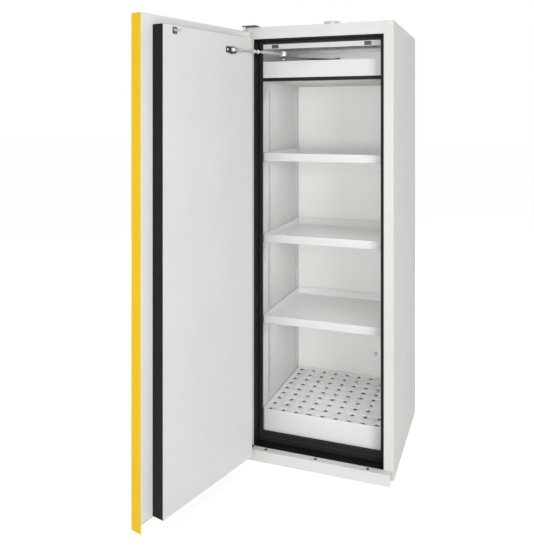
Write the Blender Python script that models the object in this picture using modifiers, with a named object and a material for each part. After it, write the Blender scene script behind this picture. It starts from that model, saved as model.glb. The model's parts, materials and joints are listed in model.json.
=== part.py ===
"""Fire-rated storage cabinet for flammable liquids, one hinged door, three tray shelves and a sump.

Metres, +Z up. The origin is the middle of the cabinet's footprint on the floor, the front faces -Y.
The door's parts are drawn closed, round an empty on the hinge axis, and the empty then swings them open.
"""
import math

import bmesh
import bpy
from mathutils import Matrix, Vector

# Body
BODY_WIDTH = 0.600
BODY_DEPTH = 0.615
BODY_HEIGHT = 1.738
SHEET = 0.0015
SIDE_WALL = 0.0545
BACK_WALL = 0.070
LINER = 0.002
GAP = 0.0003
OVERRUN = 0.010
CORNER_RADIUS = 0.003
BASE_HEIGHT = 0.009
BASE_INSET = 0.020
STILE = 0.037
HEADER_HEIGHT = 0.0480
FLOOR_LEVEL = 0.0637
CEILING_DROP = 0.0599

# Plinth strip
PLINTH_HEIGHT = 0.0443
PLINTH_DEPTH = 0.031
PLINTH_SHEET = 0.002
PLINTH_END = 0.007
SCREW_RADIUS = 0.0055
SCREW_HEIGHT = 0.0025
SCREW_INSET = 0.095

# Black door frame
PROFILE = 0.004
SILL_PROFILE = 0.002
REBATE_DEPTH = 0.045
SEAL_DEPTH = 0.011
SIDE_SEAL = 0.0155
TOP_SEAL = 0.0106
BOTTOM_SEAL = 0.0404
RIB_HEIGHT = 0.0015
RIB_WIDTH = 0.014
BUFFER_RADIUS = 0.009
BUFFER_LENGTH = 0.007
BUFFER_LEVEL = 0.466
BUFFER_SETBACK = 0.012

# Header rail and catch pockets
RAIL_HEIGHT = 0.0198
RAIL_SHEET = 0.003
RAIL_DROP = 0.0247
POCKET_INSET = 0.054
POCKET_WIDTH = 0.028
POCKET_HEIGHT = 0.0145
POCKET_WALL = 0.0012
POCKET_PROUD = 0.001

# Duct compartment
DUCT_HEIGHT = 0.1566
DUCT_SHEET = 0.002
FASCIA_SETBACK = 0.057
FASCIA_SHEET = 0.002
FASCIA_HEIGHT = 0.0666
FASCIA_SEAL_HEIGHT = 0.0143
FLANGE_HEIGHT = 0.029
FLANGE_SHEET = 0.0025
SPIGOT_X = -0.024
SPIGOT_FROM_BACK = 0.2875
SPIGOT_RADIUS = 0.0375
SPIGOT_WALL = 0.0025
SPIGOT_HEIGHT = 0.0570
SPIGOT_BEAD = 0.002
VALVE_RADIUS = 0.032
VALVE_THICKNESS = 0.003
VALVE_DROP = 0.002
VALVE_STEM_RADIUS = 0.004
VALVE_BAR_WIDTH = 0.008
VALVE_BAR_LIFT = 0.020

# Shelves and their fixings
SHELF_NAMES = ("lower", "middle", "upper")
TOP_BAY_HEIGHT = 0.2944
SHELF_PITCH = 0.3343
SHELF_SETBACK = 0.058
TRAY_HEIGHT = 0.0333
TRAY_WALL = 0.002
TRAY_SIDE_CLEARANCE = 0.001
TRAY_BACK_CLEARANCE = 0.005
STANDARD_WIDTH = 0.020
STANDARD_THICKNESS = 0.002
FRONT_STANDARD_SETBACK = 0.130
REAR_STANDARD_FROM_BACK = 0.110
SLOT_WIDTH = 0.005
SLOT_HEIGHT = 0.014
SLOT_PITCH = 0.0625
CLIP_WIDTH = 0.014
CLIP_REACH = 0.012
CLIP_HEIGHT = 0.010

# Collecting sump and perforated insert
SUMP_SETBACK = 0.058
SUMP_HEIGHT = 0.1107
INSERT_DROP = 0.003
INSERT_SHEET = 0.002
INSERT_CLEARANCE = 0.0008
HOLE_RADIUS = 0.0080
HOLE_SIDES = 10
HOLE_PITCH = 0.0551
HOLE_SHIFT = 0.003
HOLE_MARGIN = 0.004

# Earthing stud on the back wall
STUD_INSET = 0.1155
STUD_LEVEL = 0.280
STUD_RADIUS = 0.004
STUD_LENGTH = 0.016
NUT_RADIUS = 0.009
NUT_HEIGHT = 0.006

# Door
DOOR_OPEN_ANGLE = math.radians(104.5)
LEAF_GAP = 0.006
LEAF_THICKNESS = 0.045
LEAF_TOP_DROP = 0.0228
LEAF_BOTTOM = 0.0156
LEAF_EDGE_RADIUS = 0.002
SKIRT = 0.009
SKIRT_END = 0.020
NOTCH_CLEARANCE = 0.007
PLUG_DEPTH = 0.048
PLUG_SIDE_GAP = 0.012
PLUG_TOP_GAP = 0.0052
PLUG_BOTTOM_GAP = 0.005
PLUG_EDGE = 0.004
PLUG_COVER = 0.0012

# Hinge
PIVOT_INSET = 0.0075
PIVOT_PROUD = 0.030
PIN_RADIUS = 0.003
PIN_CLEARANCE = 0.0003
PIN_LENGTH = 0.024
COLLAR_RADIUS = 0.0055
TOP_PLATE = 0.003
TOP_PLATE_WIDTH = 0.062
TOP_PLATE_FRONT = 0.040
TOP_PLATE_BACK = 0.035
BOTTOM_PLATE = 0.003
BOTTOM_PLATE_WIDTH = 0.040
BOTTOM_PLATE_MARGIN = 0.002
BOTTOM_EAR_RADIUS = 0.0065

# Catch and handle
CATCH_LIFT = 0.0073
CATCH_WIDTH = 0.012
CATCH_HEIGHT = 0.005
CATCH_REACH = 0.029
CATCH_ROOT = 0.018
CATCH_NIB = 0.003
CATCH_NIB_LENGTH = 0.005
CATCH_TRAVEL = 0.003
CATCH_CLEARANCE = 0.0005
HANDLE_INSET = 0.055
HANDLE_LEVEL = 0.970
PLATE_WIDTH = 0.034
PLATE_HEIGHT = 0.180
PLATE_THICKNESS = 0.006
HUB_RADIUS = 0.012
HUB_LENGTH = 0.030
LEVER_LENGTH = 0.125
LEVER_HEIGHT = 0.018
LEVER_THICKNESS = 0.010
LOCK_DROP = 0.060
LOCK_RADIUS = 0.008
LOCK_PROUD = 0.003
KEYWAY_WIDTH = 0.0022
KEYWAY_HEIGHT = 0.009
KEYWAY_DEPTH = 0.002

# Door closer
CLOSER_DROP = 0.053
SPINDLE_REACH = 0.3425
SPINDLE_SETBACK = 0.140
CLOSER_LENGTH = 0.190
CLOSER_OFFSET = 0.025
CLOSER_DEPTH = 0.056
CLOSER_BODY_DROP = 0.028
CLOSER_BEVEL = 0.004
SPINDLE_RADIUS = 0.008
SPINDLE_SEAT = 0.010
ARM_LENGTH = 0.235
ARM_WIDTH = 0.022
ARM_THICKNESS = 0.006
ARM_DROP = 0.019
ARM_PIN_RADIUS = 0.006
ARM_PIN_GAP = 0.0006
FOREARM_LENGTH = 0.2505
BRACKET_REACH = 0.180
BRACKET_STANDOFF = 0.012
BRACKET_LENGTH = 0.060
BRACKET_HEIGHT = 0.024
BRACKET_PLATE = 0.003
BRACKET_LUG_WIDTH = 0.020
BRACKET_PIN_RADIUS = 0.003
EYE_RADIUS = 0.008
EYE_HEIGHT = 0.014
ROD_RADIUS = 0.004
TUBE_RADIUS = 0.007
TUBE_LENGTH = 0.08136
TUBE_OVERLAP = 0.0113
KNUCKLE_RADIUS = 0.010
KNUCKLE_HEIGHT = 0.018

ROUND_SIDES = 24
SMALL_SIDES = 16
ARC_STEPS = 4

# Places that follow from the sizes
SIDE = BODY_WIDTH / 2
FRONT = -BODY_DEPTH / 2
BACK = BODY_DEPTH / 2
INNER_X = SIDE - SIDE_WALL
INNER_BACK = BACK - BACK_WALL
CEILING = BODY_HEIGHT - CEILING_DROP
OPENING_TOP = BODY_HEIGHT - HEADER_HEIGHT
REVEAL_X = SIDE - STILE - PROFILE
REVEAL_TOP = OPENING_TOP - PROFILE
REVEAL_BOTTOM = PLINTH_HEIGHT + SILL_PROFILE
SEAL_FRONT = FRONT + REBATE_DEPTH
SEAL_BACK = SEAL_FRONT + SEAL_DEPTH
STILE_INNER = SIDE - STILE
RAIL_LEVEL = CEILING - RAIL_DROP
POCKET_X = INNER_X - POCKET_INSET
CATCH_LEVEL = RAIL_LEVEL + CATCH_LIFT
DUCT_LEVEL = CEILING - DUCT_HEIGHT
SHELF_LEVELS = {
    name: DUCT_LEVEL - TOP_BAY_HEIGHT - SHELF_PITCH * (len(SHELF_NAMES) - 1 - step)
    for step, name in enumerate(SHELF_NAMES)
}
STANDARD_PLACES = {"front": FRONT + FRONT_STANDARD_SETBACK, "rear": BACK - REAR_STANDARD_FROM_BACK}
CLOSER_LEVEL = CEILING - CLOSER_DROP
TRAY_X = INNER_X - STANDARD_THICKNESS - TRAY_SIDE_CLEARANCE
TRAY_BACK = INNER_BACK - TRAY_BACK_CLEARANCE
DUCT_TOP = DUCT_LEVEL + DUCT_SHEET
FASCIA_FRONT = FRONT + FASCIA_SETBACK
SUMP_FLOOR = FLOOR_LEVEL + GAP
SUMP_TOP = SUMP_FLOOR + SUMP_HEIGHT

LEAF_BACK = FRONT - LEAF_GAP
LEAF_FRONT = LEAF_BACK - LEAF_THICKNESS
LEAF_TOP = BODY_HEIGHT - LEAF_TOP_DROP
NOTCH_TOP = PLINTH_HEIGHT + NOTCH_CLEARANCE
SKIRT_BACK = LEAF_FRONT + SKIRT
PLUG_X = REVEAL_X - PLUG_SIDE_GAP
PLUG_TOP = REVEAL_TOP - PLUG_TOP_GAP
PLUG_BOTTOM = REVEAL_BOTTOM + PLUG_BOTTOM_GAP
PLUG_FACE = LEAF_BACK + PLUG_DEPTH
PIVOT = Vector((-SIDE + PIVOT_INSET, FRONT - PIVOT_PROUD, 0))
BRACKET_PIN = Vector((PIVOT.x + BRACKET_REACH, PLUG_FACE + BRACKET_STANDOFF, CLOSER_LEVEL))
SPINDLE = Vector((PIVOT.x + SPINDLE_REACH, FRONT + SPINDLE_SETBACK, CLOSER_LEVEL))
HANDLE_X = SIDE - HANDLE_INSET


def clear_scene():
    for old in list(bpy.data.objects):
        bpy.data.objects.remove(old, do_unlink=True)


def make_collection(name):
    collection = bpy.data.collections.new(name)
    bpy.context.scene.collection.children.link(collection)
    return collection


clear_scene()
CABINET = make_collection("flammable_liquid_cabinet")
CUTTERS = make_collection("cutters")


def make_material(name, colour, roughness, metallic):
    material = bpy.data.materials.new(name)
    material.use_nodes = True
    shader = material.node_tree.nodes["Principled BSDF"]
    shader.inputs["Base Color"].default_value = (*colour, 1)
    shader.inputs["Roughness"].default_value = roughness
    shader.inputs["Metallic"].default_value = metallic
    material.diffuse_color = (*colour, 1)
    return material


BODY_PAINT = make_material("light_grey_body_paint", (0.76, 0.76, 0.75), 0.45, 0)
INSIDE_PAINT = make_material("light_grey_inside_paint", (0.80, 0.80, 0.79), 0.40, 0)
DOOR_YELLOW = make_material("yellow_door_paint", (0.97, 0.60, 0.02), 0.40, 0)
FRAME_BLACK = make_material("black_frame_plastic", (0.012, 0.012, 0.012), 0.40, 0)
BOARD = make_material("insulation_board", (0.62, 0.58, 0.50), 0.90, 0)
ZINC = make_material("zinc_plated_steel", (0.60, 0.61, 0.62), 0.35, 1)
DARK_STEEL = make_material("dark_steel", (0.09, 0.09, 0.10), 0.45, 1)
HANDLE_PLASTIC = make_material("dark_grey_handle", (0.05, 0.05, 0.055), 0.50, 0)


def link(name, mesh, material=None, origin=Vector(), parent=None, collection=CABINET):
    """Add mesh, which is drawn round origin, as an object that stands there under its parent."""
    obj = bpy.data.objects.new(name, mesh)
    collection.objects.link(obj)
    obj.parent = parent
    obj.location = origin - parent_origin(parent)
    if material:
        mesh.materials.append(material)
    return obj


def parent_origin(parent):
    """Where an empty stands in the drawing, before any joint is turned."""
    return Vector(parent["drawn_at"]) if parent else Vector()


def joint_empty(name, place, parent=None):
    empty = bpy.data.objects.new(name, None)
    CABINET.objects.link(empty)
    empty.parent = parent
    empty.location = place - parent_origin(parent)
    empty["drawn_at"] = tuple(place)
    return empty


def bevel(obj, width, segments=2):
    modifier = obj.modifiers.new("edges", "BEVEL")
    modifier.width = width
    modifier.segments = segments
    modifier.limit_method = "ANGLE"
    return obj


def box_mesh(name, low, high, origin):
    mesh = bpy.data.meshes.new(name)
    bm = bmesh.new()
    bmesh.ops.create_cube(bm, size=1)
    low, high = Vector(low), Vector(high)
    size = high - low
    bmesh.ops.scale(bm, vec=size, verts=bm.verts)
    bmesh.ops.translate(bm, vec=(low + high) / 2 - origin, verts=bm.verts)
    bm.to_mesh(mesh)
    bm.free()
    return mesh


def box(name, low, high, material, parent=None, origin=None):
    """A box between two corners of the drawing, its origin in its middle unless one is given."""
    origin = (Vector(low) + Vector(high)) / 2 if origin is None else origin
    return link(name, box_mesh(name, low, high, origin), material, origin, parent)


def rod_mesh(name, radius, start, end, origin, sides=SMALL_SIDES):
    """A cylinder from start to end, points of the drawing."""
    mesh = bpy.data.meshes.new(name)
    bm = bmesh.new()
    run = end - start
    bmesh.ops.create_cone(bm, cap_ends=True, segments=sides, radius1=radius, radius2=radius, depth=run.length)
    bmesh.ops.rotate(bm, matrix=run.to_track_quat("Z", "Y").to_matrix(), verts=bm.verts)
    bmesh.ops.translate(bm, vec=(start + end) / 2 - origin, verts=bm.verts)
    bm.to_mesh(mesh)
    bm.free()
    return mesh


def rod(name, radius, start, end, material, parent=None, origin=None, sides=SMALL_SIDES):
    start, end = Vector(start), Vector(end)
    origin = (start + end) / 2 if origin is None else origin
    obj = link(name, rod_mesh(name, radius, start, end, origin, sides), material, origin, parent)
    smooth(obj)
    return obj


def smooth(obj):
    obj.data.shade_smooth()
    obj.data.set_sharp_from_angle(angle=math.radians(35))


def boolean(obj, tool, operation):
    """Cut or join with tool, which keeps its own collection and is not part of the cabinet."""
    for collection in list(tool.users_collection):
        collection.objects.unlink(tool)
    CUTTERS.objects.link(tool)
    tool.hide_render = True
    tool.display_type = "WIRE"
    modifier = obj.modifiers.new(operation.lower(), "BOOLEAN")
    modifier.operation = operation
    modifier.object = tool
    return obj


def cut_box(obj, low, high, parent=None):
    return boolean(obj, box(obj.name + "_cut", low, high, None, parent), "DIFFERENCE")


def cut_round(obj, radius, start, end, parent=None, sides=ROUND_SIDES):
    return boolean(obj, rod(obj.name + "_bore", radius, start, end, None, parent, None, sides), "DIFFERENCE")


def repeat(obj, name, count, step):
    modifier = obj.modifiers.new(name, "ARRAY")
    modifier.count = count
    modifier.use_relative_offset = False
    modifier.use_constant_offset = True
    modifier.constant_offset_displace = step
    return obj


def join(obj, tool):
    return boolean(obj, tool, "UNION")


def outline_mesh(name, outline, holes, thickness):
    """A flat plate of the outline with its holes, in the XY plane, from Z = 0 up."""
    curve = bpy.data.curves.new(name, "CURVE")
    curve.dimensions = "2D"
    curve.fill_mode = "BOTH"
    curve.extrude = thickness / 2
    for loop in [outline, *holes]:
        spline = curve.splines.new("POLY")
        spline.points.add(len(loop) - 1)
        for point, (u, v) in zip(spline.points, loop):
            point.co = (u, v, 0, 1)
        spline.use_cyclic_u = True
    holder = bpy.data.objects.new(name, curve)
    bpy.context.scene.collection.objects.link(holder)
    bpy.context.view_layer.update()
    evaluated = holder.evaluated_get(bpy.context.evaluated_depsgraph_get())
    mesh = bpy.data.meshes.new_from_object(evaluated)
    bpy.data.objects.remove(holder, do_unlink=True)
    bm = bmesh.new()
    bm.from_mesh(mesh)
    bmesh.ops.remove_doubles(bm, verts=bm.verts, dist=GAP / 100)
    bmesh.ops.translate(bm, vec=(0, 0, thickness / 2), verts=bm.verts)
    bmesh.ops.recalc_face_normals(bm, faces=bm.faces)
    bm.to_mesh(mesh)
    bm.free()
    mesh.name = name
    return mesh


PLANES = {
    "x": Matrix(((0, 0, 1), (1, 0, 0), (0, 1, 0))),
    "y": Matrix(((1, 0, 0), (0, 0, 1), (0, 1, 0))),
    "z": Matrix.Identity(3),
}


def plate(name, axis, outline, low, high, material, parent=None, holes=()):
    """An outline carried along an axis from low to high; its points are the other two axes in order."""
    mesh = outline_mesh(name, outline, holes, high - low)
    offset = {"x": Vector((low, 0, 0)), "y": Vector((0, low, 0)), "z": Vector((0, 0, low))}[axis]
    middle_u = sum(point[0] for point in outline) / len(outline)
    middle_v = sum(point[1] for point in outline) / len(outline)
    origin = PLANES[axis] @ Vector((middle_u, middle_v, 0)) + offset
    bm = bmesh.new()
    bm.from_mesh(mesh)
    bmesh.ops.transform(bm, matrix=PLANES[axis].to_4x4(), verts=bm.verts)
    bmesh.ops.translate(bm, vec=offset - origin, verts=bm.verts)
    bmesh.ops.recalc_face_normals(bm, faces=bm.faces)
    bm.to_mesh(mesh)
    bm.free()
    return link(name, mesh, material, origin, parent)


def rectangle(u_low, v_low, u_high, v_high):
    return [(u_low, v_low), (u_high, v_low), (u_high, v_high), (u_low, v_high)]


def arc_points(u, v, radius, start, end):
    turns = (start + (end - start) * step / ARC_STEPS for step in range(ARC_STEPS + 1))
    return [(u + radius * math.cos(turn), v + radius * math.sin(turn)) for turn in turns]


def base_and_shell():
    box("base_plate", (-SIDE + BASE_INSET, FRONT + BASE_INSET, 0),
        (SIDE - BASE_INSET, BACK - BASE_INSET, BASE_HEIGHT - GAP), DARK_STEEL)
    for side, sign in (("left", -1), ("right", 1)):
        side_panel(side, sign)
    inner = SIDE - SHEET - GAP
    box("back_panel", (-inner, BACK - SHEET, BASE_HEIGHT), (inner, BACK, BODY_HEIGHT - SHEET - GAP), BODY_PAINT)
    roof()
    floor_pan()


def side_panel(side, sign):
    """Side sheet with its folded front stile and a rounded fold between them."""
    low = -SIDE if sign < 0 else SIDE
    fold = arc_points(0, 0, CORNER_RADIUS, -math.pi / 2, 0)
    outer = [(SIDE - CORNER_RADIUS + u, FRONT + CORNER_RADIUS + v) for u, v in fold]
    inside = max(CORNER_RADIUS - SHEET, GAP)
    inner_fold = arc_points(0, 0, inside, 0, -math.pi / 2)
    inner = [(SIDE - SHEET - inside + u, FRONT + SHEET + inside + v) for u, v in inner_fold]
    outline = [(STILE_INNER, FRONT), *outer, (SIDE, BACK), (SIDE - SHEET, BACK), *inner, (STILE_INNER, FRONT + SHEET)]
    if low < 0:
        outline = [(-u, v) for u, v in reversed(outline)]
    plate("side_panel_" + side, "z", outline, BASE_HEIGHT, BODY_HEIGHT - SHEET - GAP, BODY_PAINT)


def spigot_bore(obj, low, high):
    centre = Vector((SPIGOT_X, BACK - SPIGOT_FROM_BACK, 0))
    start = centre + Vector((0, 0, low - OVERRUN))
    end = centre + Vector((0, 0, high + OVERRUN))
    return cut_round(obj, SPIGOT_RADIUS + GAP, start, end)


def roof():
    """Roof sheet whose front folds down as the header between the stiles."""
    top = box("roof_panel", (-SIDE, FRONT, BODY_HEIGHT - SHEET), (SIDE, BACK, BODY_HEIGHT), BODY_PAINT)
    header = box("roof_header", (-STILE_INNER + GAP, FRONT, OPENING_TOP),
                 (STILE_INNER - GAP, FRONT + SHEET, BODY_HEIGHT - SHEET / 2), None)
    join(top, header)
    spigot_bore(top, BODY_HEIGHT - SHEET, BODY_HEIGHT)


def floor_pan():
    """Bottom sheet whose front folds up behind the plinth strip."""
    inner = SIDE - CORNER_RADIUS - GAP
    front = FRONT + SHEET + GAP
    outline = [
        (front, BASE_HEIGHT), (BACK - SHEET - GAP, BASE_HEIGHT), (BACK - SHEET - GAP, BASE_HEIGHT + SHEET),
        (front + SHEET, BASE_HEIGHT + SHEET), (front + SHEET, PLINTH_HEIGHT - GAP), (front, PLINTH_HEIGHT - GAP),
    ]
    plate("floor_pan", "x", outline, -inner, inner, BODY_PAINT)


def insulation():
    """Boards between the outer sheets and the liner; they stop behind the door's rebate."""
    outer = SIDE - SHEET - GAP
    inner = INNER_X + LINER + GAP
    front = FRONT + 2 * SHEET + 2 * GAP
    behind_seal = SEAL_BACK + GAP
    back = BACK - SHEET - GAP
    bottom = BASE_HEIGHT + SHEET + GAP
    top = BODY_HEIGHT - SHEET - GAP
    stile_edge = STILE_INNER + GAP
    fold = max(CORNER_RADIUS - SHEET, 0)
    for side, sign in (("left", -1), ("right", 1)):
        outline = [(stile_edge, front), (outer - fold, front), (outer, front + fold), (outer, back),
                   (inner, back), (inner, behind_seal), (stile_edge, behind_seal)]
        if sign < 0:
            outline = [(-u, v) for u, v in reversed(outline)]
        plate("insulation_" + side, "z", outline, bottom, top, BOARD)
    across = inner - GAP
    box("insulation_back", (-across, INNER_BACK + LINER + GAP, bottom), (across, back, top), BOARD)
    deep = INNER_BACK + LINER
    upper = box("insulation_top", (-across, behind_seal, CEILING + LINER + GAP), (across, deep, top), BOARD)
    spigot_bore(upper, CEILING, top)
    box("insulation_bottom", (-across, behind_seal, bottom), (across, deep, FLOOR_LEVEL - LINER - GAP), BOARD)


def liner():
    front = SEAL_BACK + GAP
    for side, sign in (("left", -1), ("right", 1)):
        near, far = sorted((sign * INNER_X, sign * (INNER_X + LINER)))
        box("liner_" + side, (near, front, FLOOR_LEVEL - LINER), (far, INNER_BACK + LINER, CEILING + LINER),
            INSIDE_PAINT)
    inner = INNER_X - GAP
    box("liner_back", (-inner, INNER_BACK, FLOOR_LEVEL - LINER), (inner, INNER_BACK + LINER, CEILING + LINER),
        INSIDE_PAINT)
    deep = INNER_BACK - GAP
    ceiling = box("liner_ceiling", (-inner, front, CEILING), (inner, deep, CEILING + LINER), INSIDE_PAINT)
    spigot_bore(ceiling, CEILING, CEILING + LINER)
    box("liner_floor", (-inner, front, FLOOR_LEVEL - LINER), (inner, deep, FLOOR_LEVEL), INSIDE_PAINT)


def door_frame():
    """Black profiles round the opening, and the seals that the door's plug closes against."""
    rib = FRONT + (REBATE_DEPTH - RIB_WIDTH) / 2
    inner = REVEAL_X
    outline = [
        (STILE_INNER - GAP, FRONT), (STILE_INNER - GAP, SEAL_BACK), (inner, SEAL_BACK),
        (inner, rib + RIB_WIDTH), (inner - RIB_HEIGHT, rib + RIB_WIDTH), (inner - RIB_HEIGHT, rib), (inner, rib),
        (inner, FRONT),
    ]
    profiles = {}
    for side, sign in (("left", -1), ("right", 1)):
        points = [(sign * u, v) for u, v in outline]
        profiles[side] = plate("frame_profile_" + side, "z", points, REVEAL_BOTTOM + GAP, REVEAL_TOP - GAP,
                               FRAME_BLACK)
    wide = STILE_INNER - GAP
    box("frame_profile_top", (-wide, FRONT + SHEET + GAP, REVEAL_TOP), (wide, SEAL_BACK, OPENING_TOP - GAP),
        FRAME_BLACK)
    box("frame_profile_bottom", (-wide, FRONT, PLINTH_HEIGHT), (wide, SEAL_BACK, REVEAL_BOTTOM), FRAME_BLACK)
    seal = REVEAL_X - GAP
    low = REVEAL_BOTTOM + GAP
    high = REVEAL_TOP - GAP
    opening = rectangle(-REVEAL_X + SIDE_SEAL, REVEAL_BOTTOM + BOTTOM_SEAL, REVEAL_X - SIDE_SEAL,
                        REVEAL_TOP - TOP_SEAL)
    plate("rebate_seal", "y", rectangle(-seal, low, seal, high), SEAL_FRONT, SEAL_BACK, FRAME_BLACK, None, [opening])
    centre_y = FRONT + BUFFER_SETBACK
    join(profiles["right"], rod("buffer", BUFFER_RADIUS, (REVEAL_X - BUFFER_LENGTH, centre_y, BUFFER_LEVEL),
                                (REVEAL_X + PROFILE / 2, centre_y, BUFFER_LEVEL), None))


def plinth():
    """Folded strip in front of the base: a ledge, a face, and the screws in the ledge."""
    face = FRONT - PLINTH_DEPTH
    back = FRONT - GAP
    outline = [
        (face, 0), (face + PLINTH_SHEET, 0), (face + PLINTH_SHEET, PLINTH_HEIGHT - PLINTH_SHEET),
        (back, PLINTH_HEIGHT - PLINTH_SHEET), (back, PLINTH_HEIGHT), (face, PLINTH_HEIGHT),
    ]
    plate("plinth_strip", "x", outline, -SIDE, SIDE - PLINTH_END, BODY_PAINT)
    middle = FRONT - PLINTH_DEPTH / 2
    seat = PLINTH_HEIGHT + GAP
    for place, step in (("left", -1), ("middle", 0), ("right", 1)):
        x = step * (SIDE - SCREW_INSET)
        rod("plinth_screw_" + place, SCREW_RADIUS, (x, middle, seat), (x, middle, seat + SCREW_HEIGHT), DARK_STEEL)


def pocket_corners(grow, front, back, sign):
    """Corners of a catch pocket in the header rail, grown by a margin."""
    level = RAIL_LEVEL + (RAIL_HEIGHT - POCKET_HEIGHT) / 2
    low = (sign * POCKET_X - POCKET_WIDTH / 2 - grow, front, level - grow)
    high = (sign * POCKET_X + POCKET_WIDTH / 2 + grow, back, level + POCKET_HEIGHT + grow)
    return low, high


def header_rail():
    """Rail across the top of the opening, with a pocket for the door's catch on either hand."""
    front = SEAL_BACK + 4 * GAP
    back = front + RAIL_SHEET
    inner = INNER_X - GAP
    holes = []
    for sign in (-1, 1):
        low, high = pocket_corners(0, front, back, sign)
        holes.append(rectangle(low[0], low[2], high[0], high[2]))
    plate("header_rail", "y", rectangle(-inner, RAIL_LEVEL, inner, RAIL_LEVEL + RAIL_HEIGHT), front, back,
          INSIDE_PAINT, None, holes)
    for side, sign in (("left", -1), ("right", 1)):
        low, high = pocket_corners(-GAP, front, back, sign)
        inner_low, inner_high = pocket_corners(-POCKET_WALL, front, back, sign)
        plate("catch_pocket_" + side, "y", rectangle(low[0], low[2], high[0], high[2]), front - 3 * GAP,
              back + POCKET_PROUD, FRAME_BLACK, None,
              [rectangle(inner_low[0], inner_low[2], inner_high[0], inner_high[2])])


def duct_compartment():
    inner = INNER_X - GAP
    back = INNER_BACK - GAP
    front = FASCIA_FRONT + FASCIA_SHEET + GAP
    floor = box("duct_floor", (-inner, front, DUCT_LEVEL), (inner, back, DUCT_TOP), INSIDE_PAINT)
    for sign in (-1, 1):
        near, far = sorted((sign * inner, sign * (inner - FLANGE_SHEET)))
        join(floor, box("duct_flange", (near, front + GAP, DUCT_LEVEL - FLANGE_HEIGHT),
                        (far, back - GAP, DUCT_TOP - DUCT_SHEET / 4), None))
    seal_top = DUCT_LEVEL + FASCIA_SEAL_HEIGHT
    box("fascia_seal", (-inner, FASCIA_FRONT, DUCT_LEVEL), (inner, FASCIA_FRONT + FASCIA_SHEET, seal_top),
        FRAME_BLACK)
    box("fascia_board", (-inner, FASCIA_FRONT, seal_top + GAP),
        (inner, FASCIA_FRONT + FASCIA_SHEET, seal_top + GAP + FASCIA_HEIGHT), INSIDE_PAINT)


def exhaust():
    """Spigot through the roof, and the valve disc that hangs from a bar across it."""
    x, y = SPIGOT_X, BACK - SPIGOT_FROM_BACK
    top = BODY_HEIGHT + SPIGOT_HEIGHT
    profile = [
        (SPIGOT_RADIUS, top), (SPIGOT_RADIUS + SPIGOT_BEAD, top - SPIGOT_BEAD),
        (SPIGOT_RADIUS + SPIGOT_BEAD, top - 2 * SPIGOT_BEAD), (SPIGOT_RADIUS, top - 3 * SPIGOT_BEAD),
        (SPIGOT_RADIUS, CEILING), (SPIGOT_RADIUS - SPIGOT_WALL, CEILING), (SPIGOT_RADIUS - SPIGOT_WALL, top),
    ]
    mesh = bpy.data.meshes.new("exhaust_spigot")
    bm = bmesh.new()
    points = [bm.verts.new((radius, 0, level - CEILING)) for radius, level in profile]
    for step, point in enumerate(points):
        bm.edges.new((point, points[(step + 1) % len(points)]))
    bm.to_mesh(mesh)
    bm.free()
    spigot = link("exhaust_spigot", mesh, ZINC, Vector((x, y, CEILING)))
    screw = spigot.modifiers.new("turn", "SCREW")
    screw.steps = ROUND_SIDES
    screw.render_steps = ROUND_SIDES
    screw.use_merge_vertices = True
    screw.merge_threshold = GAP / 10
    screw.use_smooth_shade = False
    low = CEILING - VALVE_DROP
    disc = rod("exhaust_valve", VALVE_RADIUS, (x, y, low - VALVE_THICKNESS), (x, y, low), INSIDE_PAINT, None, None,
               ROUND_SIDES)
    bar_level = CEILING + VALVE_BAR_LIFT
    join(disc, rod("valve_stem", VALVE_STEM_RADIUS, (x, y, low - VALVE_THICKNESS / 2),
                   (x, y, bar_level + VALVE_THICKNESS / 2), None))
    reach = math.sqrt((SPIGOT_RADIUS - SPIGOT_WALL) ** 2 - VALVE_BAR_WIDTH ** 2 / 4) - SPIGOT_WALL / 4
    join(disc, box("valve_bar", (x - reach, y - VALVE_BAR_WIDTH / 2, bar_level),
                   (x + reach, y + VALVE_BAR_WIDTH / 2, bar_level + VALVE_THICKNESS), None))


def tray(name, front, back, floor_level, height, wall):
    """An open pan with upright walls."""
    pan = box(name, (-TRAY_X, front, floor_level), (TRAY_X, back, floor_level + height), INSIDE_PAINT)
    cut_box(pan, (-TRAY_X + wall, front + wall, floor_level + wall),
            (TRAY_X - wall, back - wall, floor_level + height + OVERRUN))
    return pan


def shelves():
    for name, level in SHELF_LEVELS.items():
        tray("shelf_tray_" + name, FRONT + SHELF_SETBACK, TRAY_BACK, level - TRAY_HEIGHT, TRAY_HEIGHT, TRAY_WALL)
    low = SUMP_TOP + SLOT_HEIGHT
    high = DUCT_LEVEL - FLANGE_HEIGHT - SLOT_HEIGHT / 2
    count = int((high - low) / SLOT_PITCH)
    for side, sign in (("left", -1), ("right", 1)):
        for place, middle in STANDARD_PLACES.items():
            standard("shelf_standard_" + side + "_" + place, sign, middle, low, high, count)


def standard(name, sign, middle, low, high, count):
    """Slotted strip on the side wall, with the clip that it carries under each tray."""
    near, far = sorted((sign * (INNER_X - GAP), sign * (INNER_X - STANDARD_THICKNESS)))
    slots = []
    for step in range(count):
        level = low + SLOT_PITCH / 2 + SLOT_PITCH * step
        slots.append(rectangle(middle - SLOT_WIDTH / 2, level - SLOT_HEIGHT / 2, middle + SLOT_WIDTH / 2,
                               level + SLOT_HEIGHT / 2))
    outline = rectangle(middle - STANDARD_WIDTH / 2, low, middle + STANDARD_WIDTH / 2, high)
    strip = plate(name, "x", outline, near, far, ZINC, None, slots)
    outer = INNER_X - STANDARD_THICKNESS / 2
    for level in SHELF_LEVELS.values():
        top = level - TRAY_HEIGHT - GAP
        clip_near, clip_far = sorted((sign * outer, sign * (outer - CLIP_REACH)))
        join(strip, box("clip", (clip_near, middle - CLIP_WIDTH / 2, top - CLIP_HEIGHT),
                        (clip_far, middle + CLIP_WIDTH / 2, top), None))


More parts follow.
